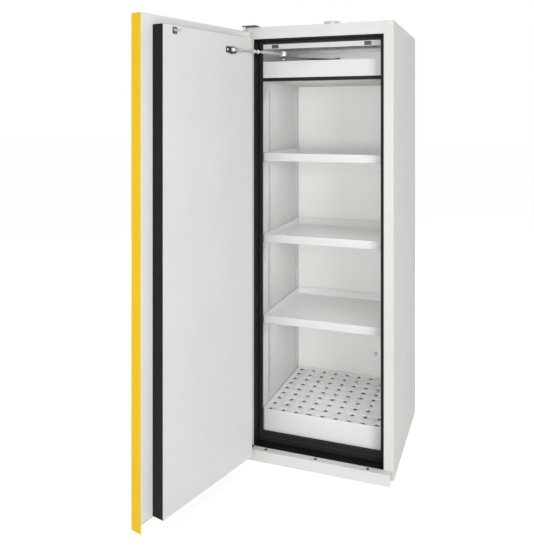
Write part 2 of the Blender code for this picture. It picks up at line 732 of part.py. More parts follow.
def sump():
    front = FRONT + SUMP_SETBACK
    tray("sump_tray", front, TRAY_BACK, SUMP_FLOOR, SUMP_HEIGHT, TRAY_WALL)
    side = TRAY_X - TRAY_WALL - INSERT_CLEARANCE
    near = front + TRAY_WALL + INSERT_CLEARANCE
    far = TRAY_BACK - TRAY_WALL - INSERT_CLEARANCE
    top = SUMP_TOP - INSERT_DROP
    insert = box("perforated_insert", (-side, near, top - INSERT_SHEET), (side, far, top), INSIDE_PAINT)
    edge = HOLE_RADIUS + HOLE_MARGIN
    column_gaps = int(2 * (side - edge) / HOLE_PITCH)
    row_gaps = int((far - near - 2 * edge) / HOLE_PITCH)
    first_column = HOLE_SHIFT - column_gaps * HOLE_PITCH / 2
    first_row = near + edge
    drill = rod("insert_drill", HOLE_RADIUS, (first_column, first_row, top - OVERRUN),
                (first_column, first_row, top + OVERRUN), None, None, None, HOLE_SIDES)
    repeat(drill, "columns", column_gaps + 1, (HOLE_PITCH, 0, 0))
    repeat(drill, "rows", row_gaps + 1, (0, HOLE_PITCH, 0))
    boolean(insert, drill, "DIFFERENCE")
    for sign in (-1, 1):
        inner, outer = sorted((sign * side, sign * (side - INSERT_SHEET)))
        join(insert, box("insert_leg", (inner, near, SUMP_FLOOR + TRAY_WALL + GAP), (outer, far, top - INSERT_SHEET / 2),
                         None))


def earthing_stud():
    start = Vector((INNER_X - STUD_INSET, INNER_BACK - GAP, STUD_LEVEL))
    out = Vector((0, -1, 0))
    nut = rod("earthing_stud", NUT_RADIUS, start, start + out * NUT_HEIGHT, ZINC, None, None, 6)
    join(nut, rod("stud_thread", STUD_RADIUS, start + out * NUT_HEIGHT / 2, start + out * STUD_LENGTH, None))


def hinge_brackets():
    """Fixed plates at the roof and the plinth; the door turns on their pins."""
    x, y = PIVOT.x, PIVOT.y
    low = BODY_HEIGHT + GAP
    top = box("hinge_bracket_top", (-SIDE, FRONT - TOP_PLATE_FRONT, low),
              (-SIDE + TOP_PLATE_WIDTH, FRONT + TOP_PLATE_BACK, low + TOP_PLATE), DARK_STEEL)
    join(top, rod("top_pin", PIN_RADIUS, (x, y, LEAF_TOP - PIN_LENGTH), (x, y, low + TOP_PLATE / 2), None))
    join(top, rod("top_collar", COLLAR_RADIUS, (x, y, LEAF_TOP + 2 * GAP), (x, y, low + TOP_PLATE / 2), None))
    seat = PLINTH_HEIGHT + GAP
    bottom = box("hinge_bracket_bottom", (-SIDE, FRONT - PLINTH_DEPTH + BOTTOM_PLATE_MARGIN, seat),
                 (-SIDE + BOTTOM_PLATE_WIDTH, FRONT - BOTTOM_PLATE_MARGIN, seat + BOTTOM_PLATE), DARK_STEEL)
    join(bottom, rod("bottom_ear", BOTTOM_EAR_RADIUS, (x, y, seat + GAP), (x, y, seat + BOTTOM_PLATE - GAP), None))
    join(bottom, rod("bottom_pin", PIN_RADIUS, (x, y, seat + BOTTOM_PLATE / 2), (x, y, NOTCH_TOP + PIN_LENGTH), None))
    join(bottom, rod("bottom_collar", COLLAR_RADIUS, (x, y, seat + BOTTOM_PLATE / 2), (x, y, NOTCH_TOP - 2 * GAP),
                     None))


def pin_bores(obj, pivot):
    """Blind holes for the two hinge pins."""
    x, y = PIVOT.x, PIVOT.y
    radius = PIN_RADIUS + PIN_CLEARANCE
    cut_round(obj, radius, (x, y, LEAF_TOP - PIN_LENGTH - GAP), (x, y, LEAF_TOP + OVERRUN), pivot, SMALL_SIDES)
    cut_round(obj, radius, (x, y, NOTCH_TOP - OVERRUN / 2), (x, y, NOTCH_TOP + PIN_LENGTH + GAP), pivot, SMALL_SIDES)
    return obj


def skirt_corner(obj, front, pivot):
    """Cuts the back of the skirt away at the hinge, where it would turn into the plinth strip."""
    return cut_box(obj, (-SIDE - OVERRUN, front, LEAF_BOTTOM - OVERRUN),
                   (-SIDE + SKIRT_END, LEAF_BACK + OVERRUN, NOTCH_TOP - GAP), pivot)


def door_leaf(pivot):
    """Yellow pan, grey inner sheet and the board between; the bottom is stepped over the plinth strip."""
    skin = box("door_outer_skin", (-SIDE, LEAF_FRONT, LEAF_BOTTOM), (SIDE, LEAF_BACK, LEAF_TOP), DOOR_YELLOW, pivot)
    bevel(skin, LEAF_EDGE_RADIUS)
    cut_box(skin, (-SIDE + SHEET, LEAF_FRONT + SHEET, LEAF_BOTTOM + SHEET),
            (SIDE - SHEET, LEAF_BACK + OVERRUN, LEAF_TOP - SHEET), pivot)
    cut_box(skin, (-SIDE - OVERRUN, SKIRT_BACK, LEAF_BOTTOM - OVERRUN), (SIDE - SHEET, LEAF_BACK + OVERRUN, NOTCH_TOP),
            pivot)
    skirt_corner(skin, LEAF_FRONT + SHEET + GAP, pivot)
    x, y = PIVOT.x, PIVOT.y
    cut_round(skin, PIN_RADIUS + PIN_CLEARANCE, (x, y, LEAF_TOP - PIN_LENGTH), (x, y, LEAF_TOP + OVERRUN), pivot,
              SMALL_SIDES)
    edge = SIDE - SHEET - GAP
    low = LEAF_BOTTOM + SHEET + GAP
    high = LEAF_TOP - SHEET - GAP
    outline = [
        (LEAF_BACK, NOTCH_TOP), (LEAF_BACK, high), (LEAF_BACK - SHEET, high), (LEAF_BACK - SHEET, NOTCH_TOP + SHEET),
        (SKIRT_BACK - SHEET, NOTCH_TOP + SHEET), (SKIRT_BACK - SHEET, low), (SKIRT_BACK, low), (SKIRT_BACK, NOTCH_TOP),
    ]
    inner = plate("door_inner_skin", "x", outline, -edge, edge, BODY_PAINT, pivot)
    cut_round(inner, PIN_RADIUS + PIN_CLEARANCE, (x, y, NOTCH_TOP - OVERRUN / 2), (x, y, NOTCH_TOP + OVERRUN / 2),
              pivot, SMALL_SIDES)
    skirt_corner(inner, LEAF_FRONT, pivot)
    front = LEAF_FRONT + SHEET + GAP
    back = LEAF_BACK - SHEET - GAP
    board_low = NOTCH_TOP + SHEET + GAP
    board_back = SKIRT_BACK - SHEET - GAP
    outline = [(front, low), (board_back, low), (board_back, board_low), (back, board_low), (back, high), (front, high)]
    board = plate("door_insulation", "x", outline, -edge, edge, BOARD, pivot)
    skirt_corner(pin_bores(board, pivot), LEAF_FRONT, pivot)


def door_plug(pivot):
    """Inner block of the door that fills the opening: black edge, board and grey cover."""
    back = PLUG_FACE - PLUG_COVER - GAP
    front = LEAF_BACK + GAP
    inset = PLUG_EDGE + GAP
    plate("plug_edge", "y", rectangle(-PLUG_X, PLUG_BOTTOM, PLUG_X, PLUG_TOP), front, back, FRAME_BLACK, pivot,
          [rectangle(-PLUG_X + PLUG_EDGE, PLUG_BOTTOM + PLUG_EDGE, PLUG_X - PLUG_EDGE, PLUG_TOP - PLUG_EDGE)])
    board = box("plug_insulation", (-PLUG_X + inset, front, PLUG_BOTTOM + inset),
                (PLUG_X - inset, back, PLUG_TOP - inset), BOARD, pivot)
    cover = box("plug_cover", (-PLUG_X, back + GAP, PLUG_BOTTOM), (PLUG_X, PLUG_FACE, PLUG_TOP), BODY_PAINT, pivot)
    low = (POCKET_X - CATCH_WIDTH / 2 - CATCH_CLEARANCE, PLUG_FACE - CATCH_ROOT - CATCH_CLEARANCE,
           CATCH_LEVEL - CATCH_TRAVEL - CATCH_CLEARANCE)
    high = (POCKET_X + CATCH_WIDTH / 2 + CATCH_CLEARANCE, PLUG_FACE + OVERRUN,
            CATCH_LEVEL + CATCH_HEIGHT + CATCH_CLEARANCE)
    cut_box(board, low, high, pivot)
    cut_box(cover, low, high, pivot)


def catch(pivot):
    """Sliding catch of the door: a flat bolt with a nib at its tip."""
    root = PLUG_FACE - CATCH_ROOT
    tip = PLUG_FACE + CATCH_REACH
    outline = [
        (root, CATCH_LEVEL), (tip, CATCH_LEVEL), (tip, CATCH_LEVEL + CATCH_HEIGHT + CATCH_NIB),
        (tip - CATCH_NIB_LENGTH, CATCH_LEVEL + CATCH_HEIGHT + CATCH_NIB),
        (tip - CATCH_NIB_LENGTH, CATCH_LEVEL + CATCH_HEIGHT), (root, CATCH_LEVEL + CATCH_HEIGHT),
    ]
    plate("door_catch", "x", outline, POCKET_X - CATCH_WIDTH / 2, POCKET_X + CATCH_WIDTH / 2, ZINC, pivot)


def handle(pivot):
    """Lever handle on its plate, with a lock cylinder below; the lever lies level and points to the hinge."""
    seat = LEAF_FRONT - GAP
    face = seat - PLATE_THICKNESS
    lock_level = HANDLE_LEVEL - LOCK_DROP
    middle = HANDLE_LEVEL - LOCK_DROP / 2
    cover = box("handle_plate", (HANDLE_X - PLATE_WIDTH / 2, face, middle - PLATE_HEIGHT / 2),
                (HANDLE_X + PLATE_WIDTH / 2, seat, middle + PLATE_HEIGHT / 2), HANDLE_PLASTIC, pivot)
    bevel(cover, PLATE_THICKNESS / 4)
    cut_round(cover, LOCK_RADIUS + GAP, (HANDLE_X, face - OVERRUN, lock_level), (HANDLE_X, seat + OVERRUN, lock_level),
              pivot, SMALL_SIDES)
    hub_start = Vector((HANDLE_X, face - GAP, HANDLE_LEVEL))
    hub_end = hub_start - Vector((0, HUB_LENGTH, 0))
    lever = rod("handle_lever", HUB_RADIUS, hub_start, hub_end, HANDLE_PLASTIC, pivot, hub_start, ROUND_SIDES)
    arm = box("lever_arm", (HANDLE_X - LEVER_LENGTH, hub_end.y, HANDLE_LEVEL - LEVER_HEIGHT / 2),
              (HANDLE_X, hub_end.y + LEVER_THICKNESS, HANDLE_LEVEL + LEVER_HEIGHT / 2), None, pivot)
    bevel(arm, LEVER_THICKNESS / 4)
    join(lever, arm)
    lock_start = Vector((HANDLE_X, seat - GAP, lock_level))
    lock_end = Vector((HANDLE_X, face - LOCK_PROUD, lock_level))
    lock = rod("lock_cylinder", LOCK_RADIUS, lock_start, lock_end, ZINC, pivot, lock_start)
    cut_box(lock, (HANDLE_X - KEYWAY_WIDTH / 2, lock_end.y - OVERRUN, lock_level - KEYWAY_HEIGHT / 2),
            (HANDLE_X + KEYWAY_WIDTH / 2, lock_end.y + KEYWAY_DEPTH, lock_level + KEYWAY_HEIGHT / 2), pivot)


def turned(point, centre, angle):
    return centre + Matrix.Rotation(angle, 3, "Z") @ (point - centre)


def elbow_at(door_angle):
    """Where the closer's elbow lies with the door open by an angle: the crossing away from the hinge."""
    pin = turned(BRACKET_PIN, Vector((PIVOT.x, PIVOT.y, CLOSER_LEVEL)), -door_angle)
    run = SPINDLE - pin
    along = (FOREARM_LENGTH ** 2 - ARM_LENGTH ** 2 + run.length_squared) / (2 * run.length)
    across = math.sqrt(FOREARM_LENGTH ** 2 - along ** 2)
    forward = run.normalized()
    sideways = Vector((-forward.y, forward.x, 0))
    return pin + forward * along + sideways * across


def closer(door_pivot):
    """Door closer in the duct compartment, its arm, and the forearm that ends at the door's bracket."""
    body_top = CLOSER_LEVEL - CLOSER_BODY_DROP
    middle_x = SPINDLE.x - CLOSER_OFFSET
    housing = box("closer_body", (middle_x - CLOSER_LENGTH / 2, SPINDLE.y - CLOSER_DEPTH / 2, DUCT_TOP + GAP),
                  (middle_x + CLOSER_LENGTH / 2, SPINDLE.y + CLOSER_DEPTH / 2, body_top), DARK_STEEL)
    bevel(housing, CLOSER_BEVEL)
    seat = Vector((SPINDLE.x, SPINDLE.y, body_top - SPINDLE_SEAT))
    cut_round(housing, SPINDLE_RADIUS + PIN_CLEARANCE, seat - Vector((0, 0, GAP)),
              Vector((SPINDLE.x, SPINDLE.y, body_top + OVERRUN)))
    elbow = elbow_at(DOOR_OPEN_ANGLE)
    arm_low = CLOSER_LEVEL - ARM_DROP
    closer_arm(elbow, seat, arm_low)
    closer_bracket(door_pivot)
    forearm(elbow, door_pivot)


def flat_bar_outline(start, end, width):
    """A bar with round ends, between two points of a level."""
    run = (end - start).to_2d()
    heading = math.atan2(run.y, run.x)
    outline = arc_points(end.x, end.y, width / 2, heading - math.pi / 2, heading + math.pi / 2)
    outline += arc_points(start.x, start.y, width / 2, heading + math.pi / 2, heading + 3 * math.pi / 2)
    return outline


def closer_arm(elbow, seat, arm_low):
    arm_top = arm_low + ARM_THICKNESS
    place = Vector((SPINDLE.x, SPINDLE.y, arm_low))
    pivot = joint_empty("closer_arm_pivot", place)
    mesh = outline_mesh("closer_arm", [(u - place.x, v - place.y) for u, v in
                                       flat_bar_outline(place, elbow, ARM_WIDTH)], [], ARM_THICKNESS)
    arm = link("closer_arm", mesh, DARK_STEEL, place, pivot)
    join(arm, rod("arm_spindle", SPINDLE_RADIUS, seat, Vector((seat.x, seat.y, arm_low + ARM_THICKNESS / 2)), None,
                  pivot))
    knuckle_low = CLOSER_LEVEL - KNUCKLE_HEIGHT / 2
    join(arm, rod("arm_pin", ARM_PIN_RADIUS, Vector((elbow.x, elbow.y, arm_top - ARM_THICKNESS / 2)),
                  Vector((elbow.x, elbow.y, knuckle_low - ARM_PIN_GAP)), None, pivot))


def closer_bracket(door_pivot):
    """Foot on the plug's cover with a lug and an upright pin."""
    pin = BRACKET_PIN
    foot_back = PLUG_FACE + GAP
    eye_low = pin.z - EYE_HEIGHT / 2
    foot = box("closer_bracket", (pin.x - BRACKET_LENGTH / 2, foot_back, pin.z - BRACKET_HEIGHT / 2),
               (pin.x + BRACKET_LENGTH / 2, foot_back + BRACKET_PLATE, pin.z + BRACKET_HEIGHT / 2), DARK_STEEL,
               door_pivot)
    lug_top = eye_low - GAP
    join(foot, box("bracket_lug", (pin.x - BRACKET_LUG_WIDTH / 2, foot_back + BRACKET_PLATE / 2,
                                   lug_top - BRACKET_PLATE),
                   (pin.x + BRACKET_LUG_WIDTH / 2, pin.y + EYE_RADIUS, lug_top), None, door_pivot))
    join(foot, rod("bracket_pin", BRACKET_PIN_RADIUS, Vector((pin.x, pin.y, lug_top - BRACKET_PLATE / 2)),
                   Vector((pin.x, pin.y, pin.z + EYE_HEIGHT / 2)), None, door_pivot))


def forearm(elbow, door_pivot):
    """Eye, rod, adjusting tube and knuckle, drawn along +X from the bracket's pin and then turned."""
    pin = BRACKET_PIN
    pivot = joint_empty("forearm_pivot", pin, door_pivot)
    up = Vector((0, 0, EYE_HEIGHT / 2))
    along = Vector((FOREARM_LENGTH, 0, 0))
    eye = rod("closer_forearm", EYE_RADIUS, pin - up, pin + up, ZINC, pivot, pin)
    tube_start = pin + along - Vector((TUBE_LENGTH, 0, 0))
    join(eye, rod("forearm_rod", ROD_RADIUS, pin + Vector((EYE_RADIUS / 2, 0, 0)),
                  tube_start + Vector((TUBE_OVERLAP, 0, 0)), None, pivot))
    join(eye, rod("forearm_tube", TUBE_RADIUS, tube_start, pin + along - Vector((KNUCKLE_RADIUS / 2, 0, 0)), None,
                  pivot))
    tip = Vector((0, 0, KNUCKLE_HEIGHT / 2))
    join(eye, rod("forearm_knuckle", KNUCKLE_RADIUS, pin + along - tip, pin + along + tip, None, pivot))
    cut_round(eye, BRACKET_PIN_RADIUS + PIN_CLEARANCE, pin - 2 * up, pin + 2 * up, pivot, SMALL_SIDES)
    open_pin = turned(pin, Vector((PIVOT.x, PIVOT.y, pin.z)), -DOOR_OPEN_ANGLE)
    heading = math.atan2(elbow.y - open_pin.y, elbow.x - open_pin.x)
    pivot.rotation_euler = (0, 0, heading + DOOR_OPEN_ANGLE)


def door():
    pivot = joint_empty("door_pivot", PIVOT)
    door_leaf(pivot)
    door_plug(pivot)
    catch(pivot)
    handle(pivot)
    pivot.rotation_euler = (0, 0, -DOOR_OPEN_ANGLE)
    return pivot


base_and_shell()
insulation()
liner()
door_frame()
plinth()
header_rail()
duct_compartment()
exhaust()
shelves()
sump()
earthing_stud()
hinge_brackets()
door_pivot = door()
closer(door_pivot)
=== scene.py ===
"""Looks of a fire-rated storage cabinet with one hinged door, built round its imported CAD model."""

import json
import math

import bmesh
import bpy
from mathutils import Matrix, Vector


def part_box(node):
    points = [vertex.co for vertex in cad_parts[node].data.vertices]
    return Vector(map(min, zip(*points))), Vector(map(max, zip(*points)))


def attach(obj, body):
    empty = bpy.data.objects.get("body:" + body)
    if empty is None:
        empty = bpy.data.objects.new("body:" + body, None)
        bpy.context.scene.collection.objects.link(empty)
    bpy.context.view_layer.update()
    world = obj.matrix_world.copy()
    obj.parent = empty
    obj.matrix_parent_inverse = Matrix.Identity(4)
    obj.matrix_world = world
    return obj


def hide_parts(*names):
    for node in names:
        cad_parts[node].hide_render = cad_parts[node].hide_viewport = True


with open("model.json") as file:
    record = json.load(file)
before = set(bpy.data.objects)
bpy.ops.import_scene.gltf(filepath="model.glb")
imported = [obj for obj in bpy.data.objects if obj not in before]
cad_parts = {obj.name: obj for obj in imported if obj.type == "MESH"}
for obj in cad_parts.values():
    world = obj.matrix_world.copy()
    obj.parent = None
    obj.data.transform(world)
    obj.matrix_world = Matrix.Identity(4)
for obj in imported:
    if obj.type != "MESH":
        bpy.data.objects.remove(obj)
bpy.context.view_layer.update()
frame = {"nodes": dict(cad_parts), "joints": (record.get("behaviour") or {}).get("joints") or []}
JOINTS = {joint["name"]: joint for joint in frame["joints"]}

# Image and camera, solved from the straight edges of the photograph
IMAGE_WIDTH, IMAGE_HEIGHT = 534, 550
FOCAL_PX = 642.934
HORIZON_PX = 119.065
CAMERA_PLACE = (0.6913, -2.7331, 1.3669)
CAMERA_YAW = math.radians(20.305)
SENSOR = 36

FLOOR_GLOW = 0.82
AMBIENT = 0.42
BAY_LIGHT = 0.42
DUCT_LIGHT = 0.13

MM = 0.001
ROUND = 48
FINE_ROUND = 72


# ---------------------------------------------------------------- materials

def add(tree, kind, links=None, **settings):
    """A shader node; links gives its inputs by name or number, as a value or another node's socket."""
    made = tree.nodes.new("ShaderNode" + kind)
    for name, value in settings.items():
        setattr(made, name, value)
    for name, value in (links or {}).items():
        socket = made.inputs[name]
        if isinstance(value, bpy.types.NodeSocket):
            tree.links.new(value, socket)
        else:
            socket.default_value = value
    return made


def noise(tree, place, scale, detail=3, roughness=0.5):
    made = add(tree, "TexNoise", {"Vector": place, "Scale": scale, "Detail": detail, "Roughness": roughness})
    return made.outputs["Fac"]


def spread(tree, value, low, high):
    """Maps 0..1 to low..high."""
    made = add(tree, "MapRange", {"Value": value, "From Min": 0.25, "From Max": 0.75, "To Min": low, "To Max": high})
    return made.outputs["Result"]


def times(tree, a, b):
    return add(tree, "Math", {0: a, 1: b}, operation="MULTIPLY").outputs[0]


def plus(tree, a, b):
    return add(tree, "Math", {0: a, 1: b}, operation="ADD").outputs[0]


def edge_mask(tree, radius):
    """1 along the edges of the shape, 0 on its faces, and the softened normal that gives it."""
    soft = add(tree, "Bevel", {"Radius": radius}, samples=4).outputs["Normal"]
    true = add(tree, "NewGeometry").outputs["True Normal"]
    facing = add(tree, "VectorMath", {0: soft, 1: true}, operation="DOT_PRODUCT").outputs["Value"]
    mask = add(tree, "MapRange", {"Value": facing, "From Min": 0.985, "From Max": 0.90, "To Min": 0.0, "To Max": 1.0})
    return mask.outputs["Result"], soft


def finish_material(name, colour, rough, metallic=0.0, mottle=0.03, mottle_scale=3.0, grain_scale=700.0,
                    grain=0.10, grain_depth=0.0003, rough_spread=0.05, edge=0.05, edge_radius=0.0012,
                    speckle=0.0, stretch=(1, 1, 1), coat=0.0, specular=0.5, cells=False):
    """A painted, moulded or plated surface: cloudy colour, fine grain in the bump, edges lighter in colour, part
    rubbed wear and part painted highlight.
    """
    material = bpy.data.materials.new(name)
    material.use_nodes = True
    tree = material.node_tree
    shader = tree.nodes["Principled BSDF"]
    shader.inputs["Metallic"].default_value = metallic
    shader.inputs["Coat Weight"].default_value = coat
    shader.inputs["Coat Roughness"].default_value = 0.2
    shader.inputs["Specular IOR Level"].default_value = specular
    place = add(tree, "TexCoord").outputs["Object"]
    stretched = add(tree, "Mapping", {"Vector": place, "Scale": stretch}).outputs["Vector"]
    cloud = noise(tree, stretched, mottle_scale, 5, 0.55)
    level = spread(tree, cloud, 1 - mottle, 1 + mottle)
    if speckle:
        dots = noise(tree, place, 2600, 1, 0.4)
        level = times(tree, level, spread(tree, dots, 1 - speckle, 1 + speckle))
    # Edges lighter in colour: part rubbed wear, part painted highlight.
    mask, soft = edge_mask(tree, edge_radius)
    level = plus(tree, level, times(tree, mask, edge))
    base = add(tree, "Mix", {"Factor": 1.0, 6: (*colour, 1)}, data_type="RGBA", blend_type="MULTIPLY")
    tree.links.new(level, base.inputs[7])
    tree.links.new(base.outputs[2], shader.inputs["Base Color"])
    smear = noise(tree, stretched, mottle_scale * 4, 4, 0.6)
    tree.links.new(spread(tree, smear, rough - rough_spread, rough + rough_spread), shader.inputs["Roughness"])
    if cells:
        height = add(tree, "TexVoronoi", {"Vector": stretched, "Scale": grain_scale}).outputs["Distance"]
    else:
        height = noise(tree, stretched, grain_scale, 2, 0.5)
    bump = add(tree, "Bump", {"Strength": grain, "Distance": grain_depth, "Height": height, "Normal": soft})
    tree.links.new(bump.outputs["Normal"], shader.inputs["Normal"])
    material.diffuse_color = (*colour, 1)
    return material


BODY_PAINT = finish_material("satin_grey_powder_coat", (0.755, 0.757, 0.742), 0.42, grain=0.16, speckle=0.012)
SIDE_PAINT = finish_material("satin_grey_side_coat", (0.745, 0.735, 0.715), 0.45, grain=0.16, speckle=0.012)
# Door back and its edging: the body grey painted lighter, a painted light for the light falling on the open door's
# back.
PAINTED_LIGHT_LEAF_COAT = finish_material("door_back_coat_painted_light", (0.840, 0.842, 0.830), 0.42, grain=0.16, speckle=0.012)
INSIDE_PAINT = finish_material("smooth_white_coat", (0.800, 0.802, 0.790), 0.36, mottle=0.02, grain=0.09)
INSIDE_BOARD = finish_material("white_melamine_face", (0.830, 0.832, 0.815), 0.48, mottle=0.02, mottle_scale=2.0,
                               grain=0.05, grain_scale=300, edge_radius=0.0008)
# White board painted grey as painted shade: the side liners, in shade under the frontal light, and the duct floor,
# whose underside is the top bay's shaded ceiling.
PAINTED_SHADE_BOARD = finish_material("white_board_painted_shade", (0.620, 0.622, 0.610), 0.50, mottle=0.02, mottle_scale=2.0,
                             grain=0.05, grain_scale=300, edge_radius=0.0008)
BASE_BOARD = finish_material("dark_base_board", (0.085, 0.082, 0.080), 0.75, mottle=0.25, mottle_scale=30,
                             grain=0.5, grain_scale=260, grain_depth=0.0006, stretch=(0.3, 2, 2))
DOOR_YELLOW = finish_material("yellow_powder_coat", (1.000, 0.625, 0.006), 0.44, mottle=0.025, grain=0.26,
                              grain_scale=900, speckle=0.02, edge=0.03, specular=0.28)
FRAME_BLACK = finish_material("black_frame_profile", (0.0100, 0.0100, 0.0095), 0.38, mottle=0.18, mottle_scale=9,
                              specular=0.15, grain=0.12, grain_scale=1400, edge=0.9, edge_radius=0.0010, stretch=(1, 1, 0.15))
SEAL_BLACK = finish_material("black_seal_strip", (0.012, 0.012, 0.0115), 0.62, specular=0.25, mottle=0.20, mottle_scale=14,
                             grain=0.35, grain_scale=900, edge=0.7)
FIRE_BOARD = finish_material("raw_fire_board", (0.60, 0.56, 0.48), 0.9, mottle=0.10, mottle_scale=24, grain=0.7,
                             grain_scale=420, grain_depth=0.0008, speckle=0.08)
ZINC = finish_material("zinc_plate", (0.66, 0.665, 0.67), 0.34, metallic=0.9, mottle=0.07, mottle_scale=60,
                       grain=0.10, grain_scale=500, cells=True, rough_spread=0.09, edge=0.12, edge_radius=0.0006)
BRIGHT_ZINC = finish_material("bright_turned_steel", (0.80, 0.80, 0.79), 0.28, metallic=0.75, mottle=0.05,
                              mottle_scale=80, grain=0.08, grain_scale=900, rough_spread=0.07, edge_radius=0.0005)
DARK_STEEL = finish_material("dark_coated_steel", (0.055, 0.055, 0.058), 0.42, metallic=0.25, mottle=0.12,
                             mottle_scale=40, grain=0.25, grain_scale=1100, edge=0.5, edge_radius=0.0006)
SCREW_STEEL = finish_material("black_screw_steel", (0.075, 0.075, 0.078), 0.36, metallic=0.6, mottle=0.10,
                              mottle_scale=120, grain=0.15, grain_scale=1500, edge=0.5, edge_radius=0.0003)
HANDLE_PLASTIC = finish_material("grained_dark_plastic", (0.045, 0.045, 0.049), 0.48, mottle=0.06, mottle_scale=20,
                                 grain=0.45, grain_scale=1300, grain_depth=0.0003, cells=True, edge=0.3)
RUBBER = finish_material("black_rubber", (0.017, 0.017, 0.017), 0.7, mottle=0.15, mottle_scale=50, grain=0.25,
                         grain_scale=1800, edge=0.5, edge_radius=0.0006)

STRIP_GREY = finish_material("dark_swelling_strip", (0.018, 0.018, 0.0175), 0.5, specular=0.2, mottle=0.2, mottle_scale=12,
                             grain=0.4, grain_scale=1000, edge=0.4, edge_radius=0.0004, stretch=(1, 1, 0.2))
DULL_ZINC = finish_material("dull_drawn_steel", (0.44, 0.44, 0.435), 0.40, metallic=0.6, mottle=0.08,
                            mottle_scale=70, grain=0.10, grain_scale=700, rough_spread=0.08, edge_radius=0.0005)
PALE_CAP = finish_material("pale_cast_cap", (0.74, 0.74, 0.73), 0.34, metallic=0.15, mottle=0.04, mottle_scale=70,
                           grain=0.2, grain_scale=1200, edge=0.08, edge_radius=0.0006)

NODE_MATERIALS = {
    "base_plate": BASE_BOARD,
    "side_panel_left": SIDE_PAINT, "side_panel_right": SIDE_PAINT,
    "back_panel": BODY_PAINT, "roof_panel": BODY_PAINT, "floor_pan": BODY_PAINT, "plinth_strip": BODY_PAINT,
    "door_inner_skin": PAINTED_LIGHT_LEAF_COAT, "plug_cover": BODY_PAINT,
    "liner_left": PAINTED_SHADE_BOARD, "liner_right": PAINTED_SHADE_BOARD, "liner_back": INSIDE_BOARD,
    "liner_ceiling": INSIDE_BOARD, "liner_floor": INSIDE_BOARD,
    # duct_floor wears the painted-shade board, darkening the top bay's ceiling as painted shade.
    "header_rail": INSIDE_PAINT, "duct_floor": PAINTED_SHADE_BOARD, "fascia_board": INSIDE_PAINT,
    "exhaust_valve": INSIDE_PAINT,
    "shelf_tray_lower": INSIDE_PAINT, "shelf_tray_middle": INSIDE_PAINT, "shelf_tray_upper": INSIDE_PAINT,
    "sump_tray": INSIDE_PAINT, "perforated_insert": INSIDE_PAINT,
    "door_outer_skin": DOOR_YELLOW,
    "frame_profile_left": FRAME_BLACK, "frame_profile_right": FRAME_BLACK, "frame_profile_top": FRAME_BLACK,
    "frame_profile_bottom": FRAME_BLACK, "rebate_seal": SEAL_BLACK, "catch_pocket_left": FRAME_BLACK,
    "catch_pocket_right": FRAME_BLACK, "fascia_seal": SEAL_BLACK, "plug_edge": FRAME_BLACK,
    "insulation_left": FIRE_BOARD, "insulation_right": FIRE_BOARD, "insulation_back": FIRE_BOARD,
    "insulation_top": FIRE_BOARD, "insulation_bottom": FIRE_BOARD, "door_insulation": FIRE_BOARD,
    "plug_insulation": FIRE_BOARD,
    "exhaust_spigot": ZINC, "shelf_standard_left_front": ZINC, "shelf_standard_left_rear": ZINC,
    "shelf_standard_right_front": ZINC, "shelf_standard_right_rear": ZINC, "earthing_stud": ZINC,
    "door_catch": ZINC, "lock_cylinder": ZINC, "closer_forearm": ZINC,
    "plinth_screw_left": SCREW_STEEL, "plinth_screw_middle": SCREW_STEEL, "plinth_screw_right": SCREW_STEEL,
    "hinge_bracket_top": DARK_STEEL, "hinge_bracket_bottom": DARK_STEEL, "closer_body": DARK_STEEL,
    "closer_arm": DARK_STEEL, "closer_bracket": DARK_STEEL,
    "handle_plate": HANDLE_PLASTIC, "handle_lever": HANDLE_PLASTIC,
}


def dress_nodes():
    for name, node in frame["nodes"].items():
        node.data.materials.clear()
        node.data.materials.append(NODE_MATERIALS[name])


# ---------------------------------------------------------------- mesh helpers

def piece(name, bm, body, material, sharp=32, replaced=()):
    """Turns a bmesh into a shown piece that rides on a body."""
    bmesh.ops.remove_doubles(bm, verts=bm.verts, dist=1e-6)
    bmesh.ops.recalc_face_normals(bm, faces=bm.faces)
    mesh = bpy.data.meshes.new(name)
    bm.to_mesh(mesh)
    bm.free()
    mesh.shade_smooth()
    mesh.set_sharp_from_angle(angle=math.radians(sharp))
    mesh.materials.append(material)
    obj = bpy.data.objects.new(name, mesh)
    bpy.context.scene.collection.objects.link(obj)
    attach(obj, body)
    if replaced:
        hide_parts(*replaced)
    return obj


def bridge(bm, first, second):
    count = len(first)
    for step in range(count):
        after = (step + 1) % count
        bm.faces.new((first[step], first[after], second[after], second[step]))


def arc(radius, start, end, steps):
    """Points of an arc about the origin, angles in degrees."""
    turns = (math.radians(start + (end - start) * step / steps) for step in range(steps + 1))
    return [(radius * math.cos(turn), radius * math.sin(turn)) for turn in turns]


def rounded_ring(low, high, inset, radius, steps):
    """Corner-rounded rectangle between two 2-D corners, drawn in by an inset."""
    points = []
    shrunk = max(radius - inset, 0.0002)
    corners = ((high[0], high[1], 0), (low[0], high[1], 90), (low[0], low[1], 180), (high[0], low[1], 270))
    for x, y, start in corners:
        centre_x = x - math.copysign(inset + shrunk, x - (low[0] + high[0]) / 2)
        centre_y = y - math.copysign(inset + shrunk, y - (low[1] + high[1]) / 2)
        points += [(centre_x + u, centre_y + v) for u, v in arc(shrunk, start, start + 90, steps)]
    return points


def ring_shell(bm, low, high, profile, radius, steps=4, matrix=None):
    """A shell over a rounded rectangle; profile gives (inset, level) from its underside to its last face."""
    rings = []
    for inset, level in profile:
        ring = [bm.verts.new((x, y, level)) for x, y in rounded_ring(low, high, inset, radius, steps)]
        rings.append(ring)
    for first, second in zip(rings, rings[1:]):
        bridge(bm, first, second)
    bm.faces.new(list(reversed(rings[0])))
    bm.faces.new(rings[-1])
    if matrix is not None:
        bmesh.ops.transform(bm, matrix=matrix, verts=[vert for ring in rings for vert in ring])


